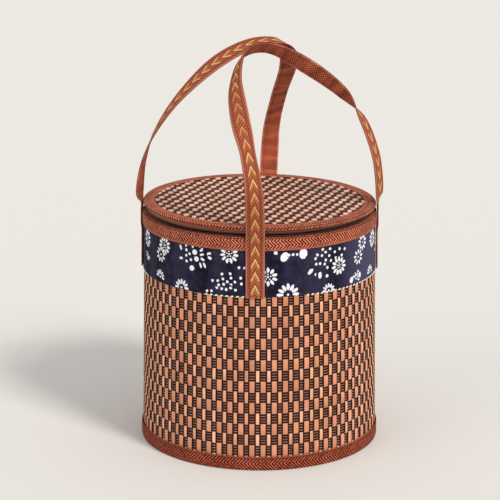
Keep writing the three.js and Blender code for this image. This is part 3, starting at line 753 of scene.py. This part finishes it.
def wefts(first_row, last_row):
    """Rings of weft, each passing behind the slats in front and over the slats behind."""
    bm = bmesh.new()
    half = WEFT_HEIGHT / 2
    pitch = ROW_HEIGHT / WEFTS_TO_A_ROW
    section = [(WEFT_THICK, -half), (0.09, -half), (0, 0), (0.09, half), (WEFT_THICK, half)]
    crossings = 5
    for row in range(first_row, last_row):
        for weft in range(WEFTS_TO_A_ROW):
            height = row_foot(row) + pitch * (weft + 0.5)
            profile = [(outside(height) - depth, height + up) for depth, up in section]
            add_ring(bm, profile, SLAT_PAIRS * crossings)
    # Places along a pair of slats, as shares of the pair, and the depth at each
    crest = WEFT_IN_FRONT - 0.08
    over_narrow = [(-0.25, WEFT_BEHIND), (0.25, WEFT_BEHIND), (0.37, WEFT_IN_FRONT), (0.5, crest),
                   (0.63, WEFT_IN_FRONT)]
    over_wide = [(0.34, WEFT_BEHIND), (0.66, WEFT_BEHIND), (0.77, WEFT_IN_FRONT), (1.0, crest),
                 (1.23, WEFT_IN_FRONT)]
    for vert in bm.verts:
        row = math.floor((vert.co.z - FIRST_ROW) / ROW_HEIGHT)
        step = round(angle_of(vert.co) / SLAT_TURN * crossings)
        share, depth = (over_wide if row % 2 else over_narrow)[step % crossings]
        angle = FIRST_SLAT + (step // crossings + share) * SLAT_TURN
        slack = 0.12 * noise.noise(Vector((angle, vert.co.z * 3, 0)) * 0.7)
        radius = math.hypot(vert.co.x, vert.co.y) - depth
        height = vert.co.z + slack
        vert.co = outward(angle) * radius + UP * height
    return bm


def make_wall():
    meshes = {"wide_slats": wall_slats(WIDE_SLAT, FIRST_SLAT, 0),
              "narrow_slats": wall_slats(NARROW_SLAT, FIRST_SLAT + SLAT_TURN / 2, 1),
              "wefts_lower_rows": wefts(0, 8), "wefts_upper_rows": wefts(8, ROWS)}
    for name, bm in meshes.items():
        material = "wefts" if name.startswith("wefts") else name.replace("_", " ")
        finished(bm, name, material, "basket", ["woven_wall"])


# Lid mat


def mat_strip(bm, along_x, offset, width, thick, heights, crossing, row, phase, crown):
    """A strip of the lid's mat, from edge to edge of the round, going up and down by rows."""
    if abs(offset) + width / 2 >= MAT_RADIUS - 1:
        return
    reach = math.sqrt(MAT_RADIUS ** 2 - offset ** 2)
    first = math.ceil((-reach + 3) / row - phase)
    last = math.floor((reach - 3) / row - phase)
    places = [(-reach, heights[(first - 1) % 2])]
    for step in range(first, last + 1):
        turn = (step + phase) * row
        before, after = heights[(step - 1) % 2], heights[step % 2]
        places += [(turn - crossing, before), (turn + crossing, after)]
        if after == max(heights) and step < last:
            places.append((turn + row / 2, after + crown))
    places.append((reach, heights[last % 2]))
    forward = Vector((1, 0, 0)) if along_x else Vector((0, 1, 0))
    across = forward.cross(UP)
    stations = [(forward * place + across * offset + UP * height, across, UP) for place, height in places]
    for vert in rolled_strip(bm, slat_section(width, thick), stations):
        # The ends are cut to the round
        along = vert.co.dot(forward)
        if abs(along) > reach - 0.01 or math.hypot(vert.co.x, vert.co.y) > MAT_RADIUS:
            room = math.sqrt(MAT_RADIUS ** 2 - vert.co.dot(across) ** 2)
            vert.co += forward * (math.copysign(room, along) - along)


def make_lid_mat():
    slat_front, slat_behind = MAT_FACE, MAT_FACE - 0.62
    weft_front, weft_behind = MAT_FACE - 0.22, MAT_FACE - 0.55
    pairs = int(MAT_RADIUS / LID_PITCH) + 1
    turn = Matrix.Rotation(math.radians(LID_SLAT_ANGLE), 3, "Z")
    mats = {"lid_wide_slats": (LID_WIDE, 0, (slat_front, slat_behind)),
            "lid_narrow_slats": (LID_NARROW, 0.5, (slat_behind, slat_front))}
    for name, (width, shift, heights) in mats.items():
        bm = bmesh.new()
        for pair in range(-pairs, pairs + 1):
            offset = (pair + shift) * LID_PITCH + chance.uniform(-0.1, 0.1)
            own_width = width * chance.uniform(0.96, 1.03)
            mat_strip(bm, False, offset, own_width, LID_SLAT_THICK, heights, 0.7, LID_ROW, 0, 0.06)
        bmesh.ops.rotate(bm, verts=bm.verts, cent=(0, 0, 0), matrix=turn)
        finished(bm, name, name.replace("_", " "), "lid", ["lid_mat"])
    bm = bmesh.new()
    rows = int(MAT_RADIUS / LID_ROW) + 2
    pitch = LID_ROW / WEFTS_TO_A_ROW
    for row in range(-rows, rows):
        heights = (weft_behind, weft_front) if row % 2 == 0 else (weft_front, weft_behind)
        for weft in range(WEFTS_TO_A_ROW):
            offset = -(row * LID_ROW + pitch * (weft + 0.5))
            # Under the slats in front, over those behind, changing half way between slats
            mat_strip(bm, True, offset, pitch - 0.65, LID_WEFT_THICK, heights, 0.6, LID_PITCH / 2, -0.5, 0.04)
    bmesh.ops.rotate(bm, verts=bm.verts, cent=(0, 0, 0), matrix=turn)
    finished(bm, "lid_wefts", "lid wefts", "lid", ["lid_mat"])


# Tapes


def stitch(bm, centre, forward, face, length, width):
    """One stitch: a small rounded run of thread lying on a face."""
    across = face.cross(forward).normalized()
    turn = Matrix((forward * length, across * width, face * width * 0.7)).transposed().to_4x4()
    spot = Matrix.Translation(centre + face * 0.1)
    bmesh.ops.create_icosphere(bm, subdivisions=1, radius=0.5, matrix=spot @ turn)


def stitch_ring(name, radius, height, face, count, length, width, body, stands_for):
    """A row of brown stitches round the basket, on a side or a top."""
    bm = bmesh.new()
    stitch(bm, outward(0) * radius + UP * height, along_rim(0), face, length, width)
    copied_round(bm, count, 360 / count)
    finished(bm, name, "brown thread", body, [stands_for])


def tape(name, profile, slack, body, stands_for):
    """A soft ring of tape. None of it goes below the floor."""
    bm = bmesh.new()
    turned(bm, profile, TAPE_STEPS)
    soften(bm, slack, 16)
    for vert in bm.verts:
        vert.co.z = max(vert.co.z, 0.02)
    finished(bm, name, name.replace("_", " "), body, [stands_for])


def foot_tape():
    top = outside(FOOT_TAPE_TOP)
    profile = [(FOOT_TAPE_INNER, 0.35), (FOOT_TAPE_INNER + 0.6, 0.02), (FOOT_RADIUS - 1.2, 0.02),
               (FOOT_RADIUS - 0.35, 0.25), (FOOT_RADIUS - 0.02, 1.1), (outside(4), 4),
               (outside(7) + 0.15, 7), (outside(10), 10), (outside(12.6), 12.6), (top - 0.05, 13.6),
               (top - 0.3, 13.95), (top - 0.55, 13.8), (top - TAPE, 12.5), (outside(2) - TAPE, 2),
               (FOOT_RADIUS - 1.2, 0.75), (FOOT_TAPE_INNER, 0.62)]
    tape("foot_tape", profile, 0.12, "basket", "foot_binding")
    seam = 12.2
    stitch_ring("foot_stitches", outside(seam), seam, outward(0), 230, 2.5, 0.55, "basket", "foot_binding")


def rim_tape():
    """Folded over the rim, from low on the outside to low on the inside."""
    foot = outside(RIM_TAPE_FOOT)
    profile = [(foot - 0.55, 227.15), (foot - 0.2, 227), (foot + 0.02, 227.5), (outside(229), 229),
               (outside(231.5) + 0.1, 231.5), (outside(235) + 0.1, 235), (outside(238), 238),
               (119.9, 239.3), (119.4, 239.85), (118.4, 240), (116.6, 240), (115.7, 239.85),
               (115.25, 239.3), (foot - 4.85, 227.3), (foot - 4.45, 227.3),
               (RIM_RADIUS - LINING_DEPTH, 239.3), (119.3, 239.3), (foot - TAPE, 228)]
    tape("rim_tape", profile, 0.12, "basket", "rim_binding")
    seam = 228.7
    stitch_ring("rim_stitches", outside(seam), seam, outward(0), 222, 2.5, 0.55, "basket", "rim_binding")


def lid_tape():
    """Round the lid's edge and a little way in over the mat, drawn in along two seams."""
    outer_seam, inner_seam = 115.9, 108.6
    # Radius, and height above the lid's underside
    profile = [(115.2, 0.02), (118.2, 0), (119.0, 0.2), (119.35, 0.7), (119.4, 1.4), (119.3, 2.3),
               (118.9, 2.9), (118.35, 3.3), (117.6, 3.6), (116.6, 3.7), (116.2, 3.6), (outer_seam, 3.25),
               (115.6, 3.65), (114.8, 3.8), (113.5, 3.82), (112.0, 3.76), (111.6, 3.4), (111.2, 3.74),
               (109.0, 3.74), (107.9, 3.65), (107.4, 3.35), (107.6, 3.22), (116.2, 3.1), (118.2, 2.7),
               (118.75, 2.0), (118.75, 0.7), (115.2, 0.6)]
    tape("lid_tape", [(radius, LID_UNDER + up) for radius, up in profile], 0.1, "lid", "lid_binding")
    for name, radius, up, count in (("lid_stitches_outer", outer_seam, 3.56, 218),
                                    ("lid_stitches_inner", inner_seam, 3.74, 204)):
        stitch_ring(name, radius, LID_UNDER + up, UP, count, 2.4, 0.5, "lid", "lid_binding")


def make_hinge():
    """One tape over the gap at the back, from the rim to the lid, made as one fixed shape."""
    bm = bmesh.new()
    rise = [240.3, 240.9, 241.6, 242.3, 243.0, 243.7, 244.3]
    bulge = [0, 0.02, 0.04, -0.05, 0.04, 0.02, 0]
    outer = [(119.35 + out, height) for out, height in zip(bulge, rise)]
    inner = [(118.6 + out, height) for out, height in zip(bulge, rise)]
    part_turned(bm, outer + inner[::-1], HINGE_ANGLE - HINGE_HALF, HINGE_ANGLE + HINGE_HALF, 12)
    piece = finished(bm, "hinge_tape", "rim tape", None,
                     ["hinge_cloth_lower", "hinge_cloth_upper"])
    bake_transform(piece)


# Printed band


def motif(column, row, reach, petals, inner_petals, petal_widths, petal_fan):
    """A motif of the print. Columns and rows are quarter millimetres on the unrolled wall. Petals
    are a count, a radius and a length. The widths are of both rings and of the dot in the middle,
    and the fan is the way it faces and how far each ring opens."""
    return {"angle": -85 + 0.11937 * column, "height": 244.75 - row / 4, "reach": reach, "petals": petals,
            "inner_petals": inner_petals, "petal_widths": petal_widths, "petal_fan": petal_fan}


def rosette(column, row, radius=9.5, petals=10):
    """A ring of petals about a dot."""
    inner = 5 if radius > 9 else 0
    return motif(column, row, radius + 1, (petals, radius * 0.72, radius * 0.28),
                 (inner, radius * 0.27, radius * 0.08), (radius * 0.15, radius * 0.08, 1), (90, 180, 180))


def leaf(column, row, facing, length=2.4, width=1.3):
    """One leaf, or a drop, pointing as it faces."""
    return motif(column, row, length + 0.8, (1, 0.01, length), (0, 1, 1), (width, 1, 0.01),
                 (facing, 180, 180))


def fan(column, row, facing=90, radius=8.5, petals=12):
    """Half a ring of petals, opening upwards or as it faces."""
    return motif(column, row, radius + 1, (petals, radius * 0.7, radius * 0.3), (0, 1, 1),
                 (radius * 0.14, 1, 1.2), (facing, 100, 100))


def blob(column, row, size):
    return motif(column, row, size + 0.8, (0, 1, 1), (0, 1, 1), (1, 1, size), (0, 180, 180))


def sprig(column, row, facing):
    """A leaf spray: long leaves on one side of a dot."""
    return motif(column, row, 8, (9, 4.6, 2.3), (0, 1, 1), (0.95, 1, 1), (facing, 95, 95))


# Loose dots: those of the flower at the left, of the round cluster, and of the one at the right
DOTS = [(400, 94), (400, 116), (416, 108), (422, 130), (401, 139), (631, 140), (653, 141),
        (561, 171), (595, 168), (566, 191), (599, 185), (638, 183), (522, 201), (545, 200), (583, 201),
        (614, 200), (641, 206), (569, 212), (599, 212), (541, 228), (561, 231), (579, 232), (598, 225),
        (617, 232), (517, 244), (498, 246), (548, 216),
        (976, 83), (1011, 85), (990, 96), (1060, 93), (1090, 99), (1035, 101), (1073, 121), (951, 102),
        (972, 107), (1007, 113), (1040, 126), (943, 116), (990, 128), (1015, 134), (963, 139), (945, 139),
        (985, 144), (998, 160), (829, 91), (846, 90), (864, 91), (944, 181), (1178, 210)]
FRONT_MOTIFS = [
    rosette(110, 108), sprig(118, 172, 250), rosette(270, 100, 9.5, 11), rosette(245, 142, 8, 9),
    fan(240, 236, 80, 7.5), leaf(372, 131, 10), leaf(370, 87, 110, 3), leaf(398, 72, 90),
    leaf(432, 72, 70), leaf(469, 66, 50, 2.6), leaf(472, 83, 40), leaf(474, 102, 20), leaf(477, 121, 340),
    leaf(468, 146, 290, 3, 1.2), leaf(486, 144, 295, 3, 1.2), leaf(506, 95, 30, 2.4, 1.6),
    leaf(509, 111, 340, 2.4, 1.5), blob(440, 96, 2.8), blob(449, 123, 2.6), blob(427, 163, 2.8),
    fan(375, 252, 90, 9), rosette(591, 88, 9.5, 11), rosette(746, 177, 9.5, 10), fan(826, 252, 90, 11.5),
    blob(776, 80, 1.9), leaf(811, 98, 60, 5, 3.9), leaf(889, 90, 80, 5.2, 4.2), rosette(1058, 162, 9.5, 11),
    leaf(920, 166, 45, 3.6, 2), leaf(963, 186, 85, 3.4, 1.9), blob(996, 194, 1.7),
    rosette(1212, 97, 8.5, 10), rosette(1180, 151, 8, 9), fan(1005, 255, 90, 7.5),
    leaf(1132, 236, 60, 3.4, 2.6), sprig(1163, 238, 60), leaf(1190, 228, 80, 3.2, 2.2),
    rosette(1325, 108, 9.5, 11), fan(1290, 240, 90, 7.5), blob(1385, 170, 2), rosette(1410, 130, 8, 9),
] + [blob(column, row, 1.45) for column, row in DOTS]
MOTIFS = FRONT_MOTIFS + [{**shape, "angle": shape["angle"] + 180} for shape in FRONT_MOTIFS]


def from_motif(shape, angle, height):
    """How far round and up a place on the band lies from a motif's middle."""
    turn = (angle - shape["angle"] + 180) % 360 - 180
    return math.radians(turn) * RIM_RADIUS, height - shape["height"]


def make_band():
    """The cloth, each of its small patches marked with the motif that it shows."""
    patches_up = 17
    patch = (RIM_TAPE_FOOT + 2 - BAND_FOOT) / patches_up
    heights = [BAND_FOOT + step * patch for step in range(patches_up + 1)] + [WALL_TOP]
    outer = [(outside(height) - BAND_DEPTH, height) for height in heights]
    bm = bmesh.new()
    turned(bm, outer + [(radius - BAND_THICK, height) for radius, height in (outer[-1], outer[0])],
           SLAT_PAIRS * 4)
    motif_uv = bm.loops.layers.uv.new("motif")
    layers = {name: bm.loops.layers.float_vector.new(name)
              for name in ("petals", "inner_petals", "petal_widths", "petal_fan")}
    for face in bm.faces:
        centre = face.calc_center_median()
        angle = angle_of(centre)
        best, nearest = None, 1.25
        for shape in MOTIFS:
            away = math.hypot(*from_motif(shape, angle, centre.z)) / shape["reach"]
            if away < nearest:
                best, nearest = shape, away
        for loop in face.loops:
            if best is None:
                loop[motif_uv].uv = (500, 500)
                continue
            loop[motif_uv].uv = from_motif(best, angle_of(loop.vert.co), loop.vert.co.z)
            for name, layer in layers.items():
                loop[layer] = best[name]
    soften(bm, 0.15, 20)
    band = finished(bm, "printed_band", "print", "basket", ["cloth_band"])


def make_hem_stitches():
    """Long white stitches that show along the hem of the band in places."""
    bm = bmesh.new()
    angle = -26.0
    while angle < 329:
        if -26 <= angle <= 1 or 22 <= angle <= 80 or 140 <= angle <= 200 or 250 <= angle <= 290:
            centre = outward(angle) * (outside(BAND_FOOT) - BAND_DEPTH) + UP * (BAND_FOOT - 0.1)
            slope = (along_rim(angle) + UP * 0.25).normalized()
            stitch(bm, centre, slope, outward(angle), 3.9, 1.9)
        angle += 2.6
    finished(bm, "hem_stitches", "white thread", "basket", ["cloth_band"])


# Straps

# The handles' routes: where the webbing's middle is and which way its right side faces
FRONT_TO_RIGHT = [
    ((-6, -120, 289), (0.4, -0.9, 0)), ((-12, -116, 325), (0.6, -0.8, 0.1)),
    ((-20, -97, 357), (-0.2, -0.8, 0.5)), ((-24, -64, 385), (-0.7, 0, 0.7)),
    ((-15, -27, 406), (-0.6, 0.5, 0.7)), ((12, -7, 407.4), (0, 0.7, 0.7)), ((48, -2, 388), (0.3, 0.9, 0.3)),
    ((83, -2, 362), (0.6, 0.7, 0.4)), ((104, -6, 335), (0.9, -0.3, 0.4)),
    ((117, -8, 302), (0.9, -0.42, 0.2)), ((121.5, -7, 276), (0.9, -0.42, 0)),
    ((122.4, -6, 257), (0.92, -0.39, 0)),
]
BACK_TO_LEFT = [
    ((10.5, 121.5, 272), (-0.1, 0.99, 0)), ((13, 109, 306), (-0.35, 0.9, 0.1)),
    ((20.5, 78, 345), (-0.4, 0.85, 0.3)), ((29, 43, 380), (-0.2, 0.8, 0.6)),
    ((28, 14, 403), (0.25, 0.2, 0.95)), ((18, 4, 413.4), (0.15, -0.1, 1)),
    ((-11, 3, 409.5), (0, -0.45, 0.9)), ((-47, 4, 389), (-0.5, -0.6, 0.6)),
    ((-83, 4, 354), (-0.75, -0.3, 0.6)), ((-107, 4, 319), (-0.95, -0.05, 0.3)),
    ((-119, 4, 288), (-0.97, 0.2, 0.1)), ((-123.2, 4, 258), (-0.93, 0.34, 0)),
]
UPRIGHT_RUN = 7
HANDLE_STEPS = 150
STRAP_CLEARANCE = 0.3            # between a sewn end and the cloth or tape it lies on


def smooth_curve(points, steps):
    """Points and directions on a smooth curve through the given points, as the CAD part has it."""
    ends = [2 * points[0] - points[1], *points, 2 * points[-1] - points[-2]]
    found = []
    for step in range(steps + 1):
        place = step / steps * (len(points) - 1)
        piece = min(int(place), len(points) - 2)
        share = place - piece
        before, start, end, after = ends[piece:piece + 4]
        leave, arrive = (end - before) / 2, (after - start) / 2
        bend = -3 * start + 3 * end - 2 * leave - arrive
        close = 2 * start - 2 * end + leave + arrive
        found.append((start + leave * share + bend * share ** 2 + close * share ** 3,
                      leave + 2 * bend * share + 3 * close * share ** 2))
    return found


def sewn_run(angle):
    """Stations up a sewn end, from its cut edge at the band's hem to just under the rim."""
    step_foot = RIM_TAPE_FOOT - STRAP_STEP
    on_tape = STRAP_CLEARANCE + STRAP_THICK / 2
    on_band = on_tape - BAND_DEPTH
    heights = [(BAND_FOOT, on_band), (BAND_FOOT + 0.6, on_band), (195, on_band), (207, on_band),
               (step_foot - 1, on_band), (step_foot + 2, on_band + 0.2), (step_foot + 5.5, on_tape - 0.15),
               (RIM_TAPE_FOOT, on_tape), (231, on_tape), (235, on_tape)]
    return [(outward(angle) * (outside(height) + out) + UP * height, along_rim(angle), outward(angle))
            for height, out in heights]


def strap_loop(route, start_angle, end_angle):
    """Stations over the top, from above the rim at one side to above it at the other."""
    def upright(angle):
        return [(outward(angle) * STRAP_RADIUS + UP * height, outward(angle))
                for height in (STRAP_RIM - STRAP_THICK, STRAP_RIM + UPRIGHT_RUN)]
    middle = [(Vector(at), Vector(faces).normalized()) for at, faces in route]
    whole = upright(start_angle) + middle + upright(end_angle)[::-1]
    centres = smooth_curve([at for at, _ in whole], HANDLE_STEPS)
    sides = smooth_curve([faces for _, faces in whole], HANDLE_STEPS)
    loop = []
    for (centre, direction), (faces, _) in zip(centres, sides):
        across = direction.cross(faces).normalized()
        loop.append((centre, across, across.cross(direction).normalized()))
    return loop


def strap(name, route, start_angle, end_angle, stands_for):
    """One length of webbing: up the wall, over the top in its twisting route, and down again."""
    down = [(centre, -across, face) for centre, across, face in reversed(sewn_run(end_angle))]
    stations = sewn_run(start_angle) + strap_loop(route, start_angle, end_angle) + down
    edge, half = STRAP_WIDTH / 2, STRAP_THICK / 2
    # The right side is a little raised in the middle, where the arrowheads are woven in
    right = [(-edge, 0.15), (-edge + 0.35, half - 0.3), (-edge + 1, half - 0.05), (-5.4, half - 0.1),
             (-4.6, half), (0, half + 0.04), (4.6, half), (5.4, half - 0.1), (edge - 1, half - 0.05),
             (edge - 0.35, half - 0.3), (edge, 0.15)]
    plain = [(edge, -0.15), (edge - 0.35, 0.3 - half), (edge - 1, 0.05 - half), (0, 0.02 - half),
             (1 - edge, 0.05 - half), (0.35 - edge, 0.3 - half), (-edge, -0.15)]
    bm = bmesh.new()
    bm.loops.layers.uv.new("webbing")
    rolled_strip(bm, right + plain, stations, right_side=len(right) - 1)
    piece = finished(bm, name, "webbing", None, stands_for)
    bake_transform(piece)


def strap_stitches():
    """The rows of thread that hold the four sewn ends."""
    bm = bmesh.new()
    on_tape = STRAP_CLEARANCE + STRAP_THICK
    on_band = on_tape - BAND_DEPTH
    for angle in STRAP_ANGLES:
        face, across = outward(angle), along_rim(angle)
        for side in (-5.6, 5.6):
            height = BAND_FOOT + 2
            while height < RIM_HEIGHT - 7:
                climb = min(max((height - RIM_TAPE_FOOT + STRAP_STEP) / STRAP_STEP, 0), 1)
                radius = outside(height) + on_band + BAND_DEPTH * climb
                stitch(bm, face * (radius - 0.12) + across * side + UP * height, UP, face, 2.2, 0.6)
                height += 2.9
        for height, out in ((RIM_HEIGHT - 6, on_tape), (BAND_FOOT + 1.6, on_band)):
            for step in range(-3, 4):
                centre = face * (outside(height) + out - 0.08) + across * (step * 1.89) + UP * height
                stitch(bm, centre, across, face, 1.7, 0.55)
    finished(bm, "strap_stitches", "brown thread", "basket",
             ["strap_end_front", "strap_end_right", "strap_end_back", "strap_end_left"])


def make_straps():
    front, right, back, left = STRAP_ANGLES
    strap("handle_strap_front_right", FRONT_TO_RIGHT, front, right,
          ["handle_front_right", "strap_end_front", "strap_end_right"])
    strap("handle_strap_back_left", BACK_TO_LEFT, back, left,
          ["handle_back_left", "strap_end_back", "strap_end_left"])
    strap_stitches()


# Zip


def hang(bm, foot, top, drop):
    """Lets what is near the foot down to one level, below the lid that stands higher at the front."""
    for vert in bm.verts:
        share = min(max((top - vert.co.z) / (top - foot), 0), 1)
        away = (1 - math.cos(math.radians(angle_of(vert.co) - HINGE_ANGLE))) / 2
        vert.co.z -= share * away * drop


def zip_row(name, foot, start, end, body, stands_for, drop=0):
    """A row of coil teeth along one tape, and the cord that they are wound on."""
    bm = bmesh.new()
    tooth, thick, high = 1.5, 1.0, 1.4
    count = int(math.radians(end - start) * ZIP_RADIUS / tooth)
    turn = (end - start) / count
    bmesh.ops.create_cube(bm, size=1, matrix=Matrix.Diagonal((tooth * 0.62, thick, high, 1)))
    bmesh.ops.bevel(bm, geom=bm.edges[:], affect="EDGES", offset=0.22, segments=1, profile=0.5, material=-1)
    place = Matrix.Translation((0, -ZIP_RADIUS - 0.8, foot + high / 2))
    spot = Matrix.Rotation(math.radians(start + turn / 2), 4, "Z") @ place
    bmesh.ops.transform(bm, matrix=spot, verts=bm.verts)
    copied_round(bm, count, turn)
    part_turned(bm, [(ZIP_RADIUS + 0.45, foot + 0.35), (ZIP_RADIUS + 0.95, foot + 0.35),
                     (ZIP_RADIUS + 0.95, foot + 1.05), (ZIP_RADIUS + 0.45, foot + 1.05)],
                start, end, ZIP_STEPS)
    hang(bm, foot + high, foot + 2.3, drop)
    finished(bm, name, "coil", body, stands_for, sharp=30)


def zip_band(name, foot, top, start, end, body, stands_for, radius=ZIP_RADIUS, drop=0):
    """A zip's tape round the basket. Its foot may hang lower, by drop where the lid is highest."""
    bm = bmesh.new()
    inner, outer = radius - ZIP_TAPE, radius
    part_turned(bm, [(inner, foot + 0.1), (inner + 0.1, foot), (outer - 0.1, foot), (outer, foot + 0.1),
                     (outer, top - 0.1), (outer - 0.1, top), (inner + 0.1, top), (inner, top - 0.1)],
                start, end, ZIP_STEPS)
    hang(bm, foot, top, drop)
    finished(bm, name, "zip tape", body, stands_for)


def make_zip():
    low_start, low_end = HINGE_ANGLE + 20.15, HINGE_ANGLE + 339.85
    high_start, high_end = HINGE_ANGLE + 27.5, HINGE_ANGLE + 332.5
    coil_foot, lid_coil_foot = 240.3, 242.9
    hanging = 2 * ZIP_RADIUS * math.sin(math.radians(LID_LIFT))
    zip_band("zip_tape_on_rim", 233.5, 241.4, low_start, low_end, "basket", ["zip_tape_lower"])
    zip_band("zip_tape_on_lid", lid_coil_foot, 245.2, high_start, high_end, "lid", ["zip_tape_upper"],
             ZIP_RADIUS + 0.9, hanging)
    zip_row("zip_teeth_on_rim", coil_foot, low_start, low_end, "basket", ["zip_coil_lower"])
    zip_row("zip_teeth_on_lid", lid_coil_foot, high_start, high_end, "lid", ["zip_coil_upper"], hanging)


# Linings


def base_cloth():
    bm = bmesh.new()
    turned(bm, [(0, 4.2), (60, 4.2), (113, 4.2), (118.4, 4.25), (118.5, 4.4), (118.2, 4.6), (112, 4.62),
                (90, 4.6), (60, 4.6), (30, 4.62), (0, 4.6)], LINING_STEPS, closed=False)
    base = finished(bm, "base_cloth", "lining", "basket", ["base_lining"])


def wall_cloth():
    bm = bmesh.new()
    foot, high, steps = 4.3, 222.6, 14
    heights = [foot + step * high / steps for step in range(steps + 1)]
    inner = [(outside(height) - LINING_DEPTH - LINING, height) for height in heights]
    outer = [(outside(height) - LINING_DEPTH, height) for height in reversed(heights)]
    turned(bm, inner + outer, LINING_STEPS)
    for vert in bm.verts:
        angle = angle_of(vert.co)
        vert.co += outward(angle) * 0.1 * noise.noise(Vector((angle * 0.4, vert.co.z * 0.06, 1)))
    wall = finished(bm, "wall_cloth", "lining", "basket", ["wall_lining"])


def lid_cloth():
    bm = bmesh.new()
    # Radius, and height above the lid's underside
    profile = [(0, 0.02), (40, 0), (80, 0.02), (110, 0.02), (113.9, 0.15), (114, 0.3), (110, 0.4), (0, 0.4)]
    turned(bm, [(radius, LID_UNDER + up) for radius, up in profile], LINING_STEPS, closed=False)
    lid = finished(bm, "lid_cloth", "lining", "lid", ["lid_lining"])


def finish_cad_nodes():
    """The CAD nodes whose shape is right keep it, and get their finish here."""
    kept = {"card": ["base_board", "wall_drum", "lid_core"],
            "brass": ["zip_slider", "zip_pull", "zip_end_stop_back", "zip_end_stop_right"]}
    for material, names in kept.items():
        for name in names:
            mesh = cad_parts[name].data
            mesh.materials.clear()
            mesh.materials.append(MATERIALS[material])


# Room, light and camera


def make_floor():
    bm = bmesh.new()
    bmesh.ops.create_grid(bm, x_segments=1, y_segments=1, size=9)
    bmesh.ops.translate(bm, verts=bm.verts, vec=(0, 0, -0.0003))
    mesh = bpy.data.meshes.new("floor")
    bm.to_mesh(mesh)
    bm.free()
    mesh.materials.append(Material("Pale floor", 0.95, Base_Color=(0.78, 0.77, 0.75, 1)).material)
    floor = bpy.data.objects.new("floor", mesh)
    bpy.context.scene.collection.objects.link(floor)


def make_light():
    """A soft key from the right and a wide fill from the left, in a pale studio."""
    world = bpy.data.worlds.new("Studio")
    world.use_nodes = True
    nodes = Nodes(world.node_tree)
    lamp = world.node_tree.nodes["Background"].inputs
    path = nodes.add_all("LightPath", {})
    seen = nodes.maths("MAXIMUM", path["Is Camera Ray"], path["Is Glossy Ray"])
    seen = nodes.maths("MAXIMUM", seen, path["Is Transmission Ray"])
    nodes.feed(lamp["Color"], (1.0, 0.985, 0.96, 1))
    nodes.feed(lamp["Strength"], nodes.between(seen, 0, 1, 0.62, 0.9))
    bpy.context.scene.world = world
    for name, direction, energy, soft, tint in (
            ("key", (-0.55, 0.62, -0.75), 1.9, 14, (1, 0.96, 0.9)),
            ("fill", (0.75, 0.55, -0.35), 0.4, 40, (1, 0.97, 0.93))):
        light = bpy.data.lights.new(name, "SUN")
        light.energy = energy
        light.angle = math.radians(soft)
        light.color = tint
        item = bpy.data.objects.new(name, light)
        item.rotation_mode = "QUATERNION"
        item.rotation_quaternion = Vector(direction).to_track_quat("-Z", "Y")
        bpy.context.scene.collection.objects.link(item)


def make_camera():
    """The photograph's camera, found by fitting the basket's ellipses."""
    pitch, yaw, roll = 0.266562, -0.004376, 0.002696
    ahead = Vector((0, math.cos(pitch), -math.sin(pitch)))
    up = Vector((0, math.sin(pitch), math.cos(pitch)))
    right = Vector((1, 0, 0))
    facing = math.cos(yaw) * ahead + math.sin(yaw) * right
    level = math.cos(yaw) * right - math.sin(yaw) * ahead
    x_axis = math.cos(roll) * level + math.sin(roll) * up
    y_axis = math.cos(roll) * up - math.sin(roll) * level
    lens = bpy.data.cameras.new("camera")
    lens.lens = 157.21
    lens.sensor_width = 36
    lens.clip_end = 50
    camera = bpy.data.objects.new("camera", lens)
    turn = Matrix((x_axis, y_axis, -facing)).transposed().to_4x4()
    camera.matrix_world = Matrix.Translation((0, -2.17656, 0.78977)) @ turn
    bpy.context.scene.collection.objects.link(camera)
    bpy.context.scene.camera = camera


for make in (make_camera, make_light, make_floor, make_wall, make_lid_mat, foot_tape, rim_tape, lid_tape,
             make_hinge, make_band, make_hem_stitches, make_straps, make_zip, base_cloth, wall_cloth,
             lid_cloth, finish_cad_nodes):
    make()

bpy.context.scene.view_settings.view_transform = "Standard"
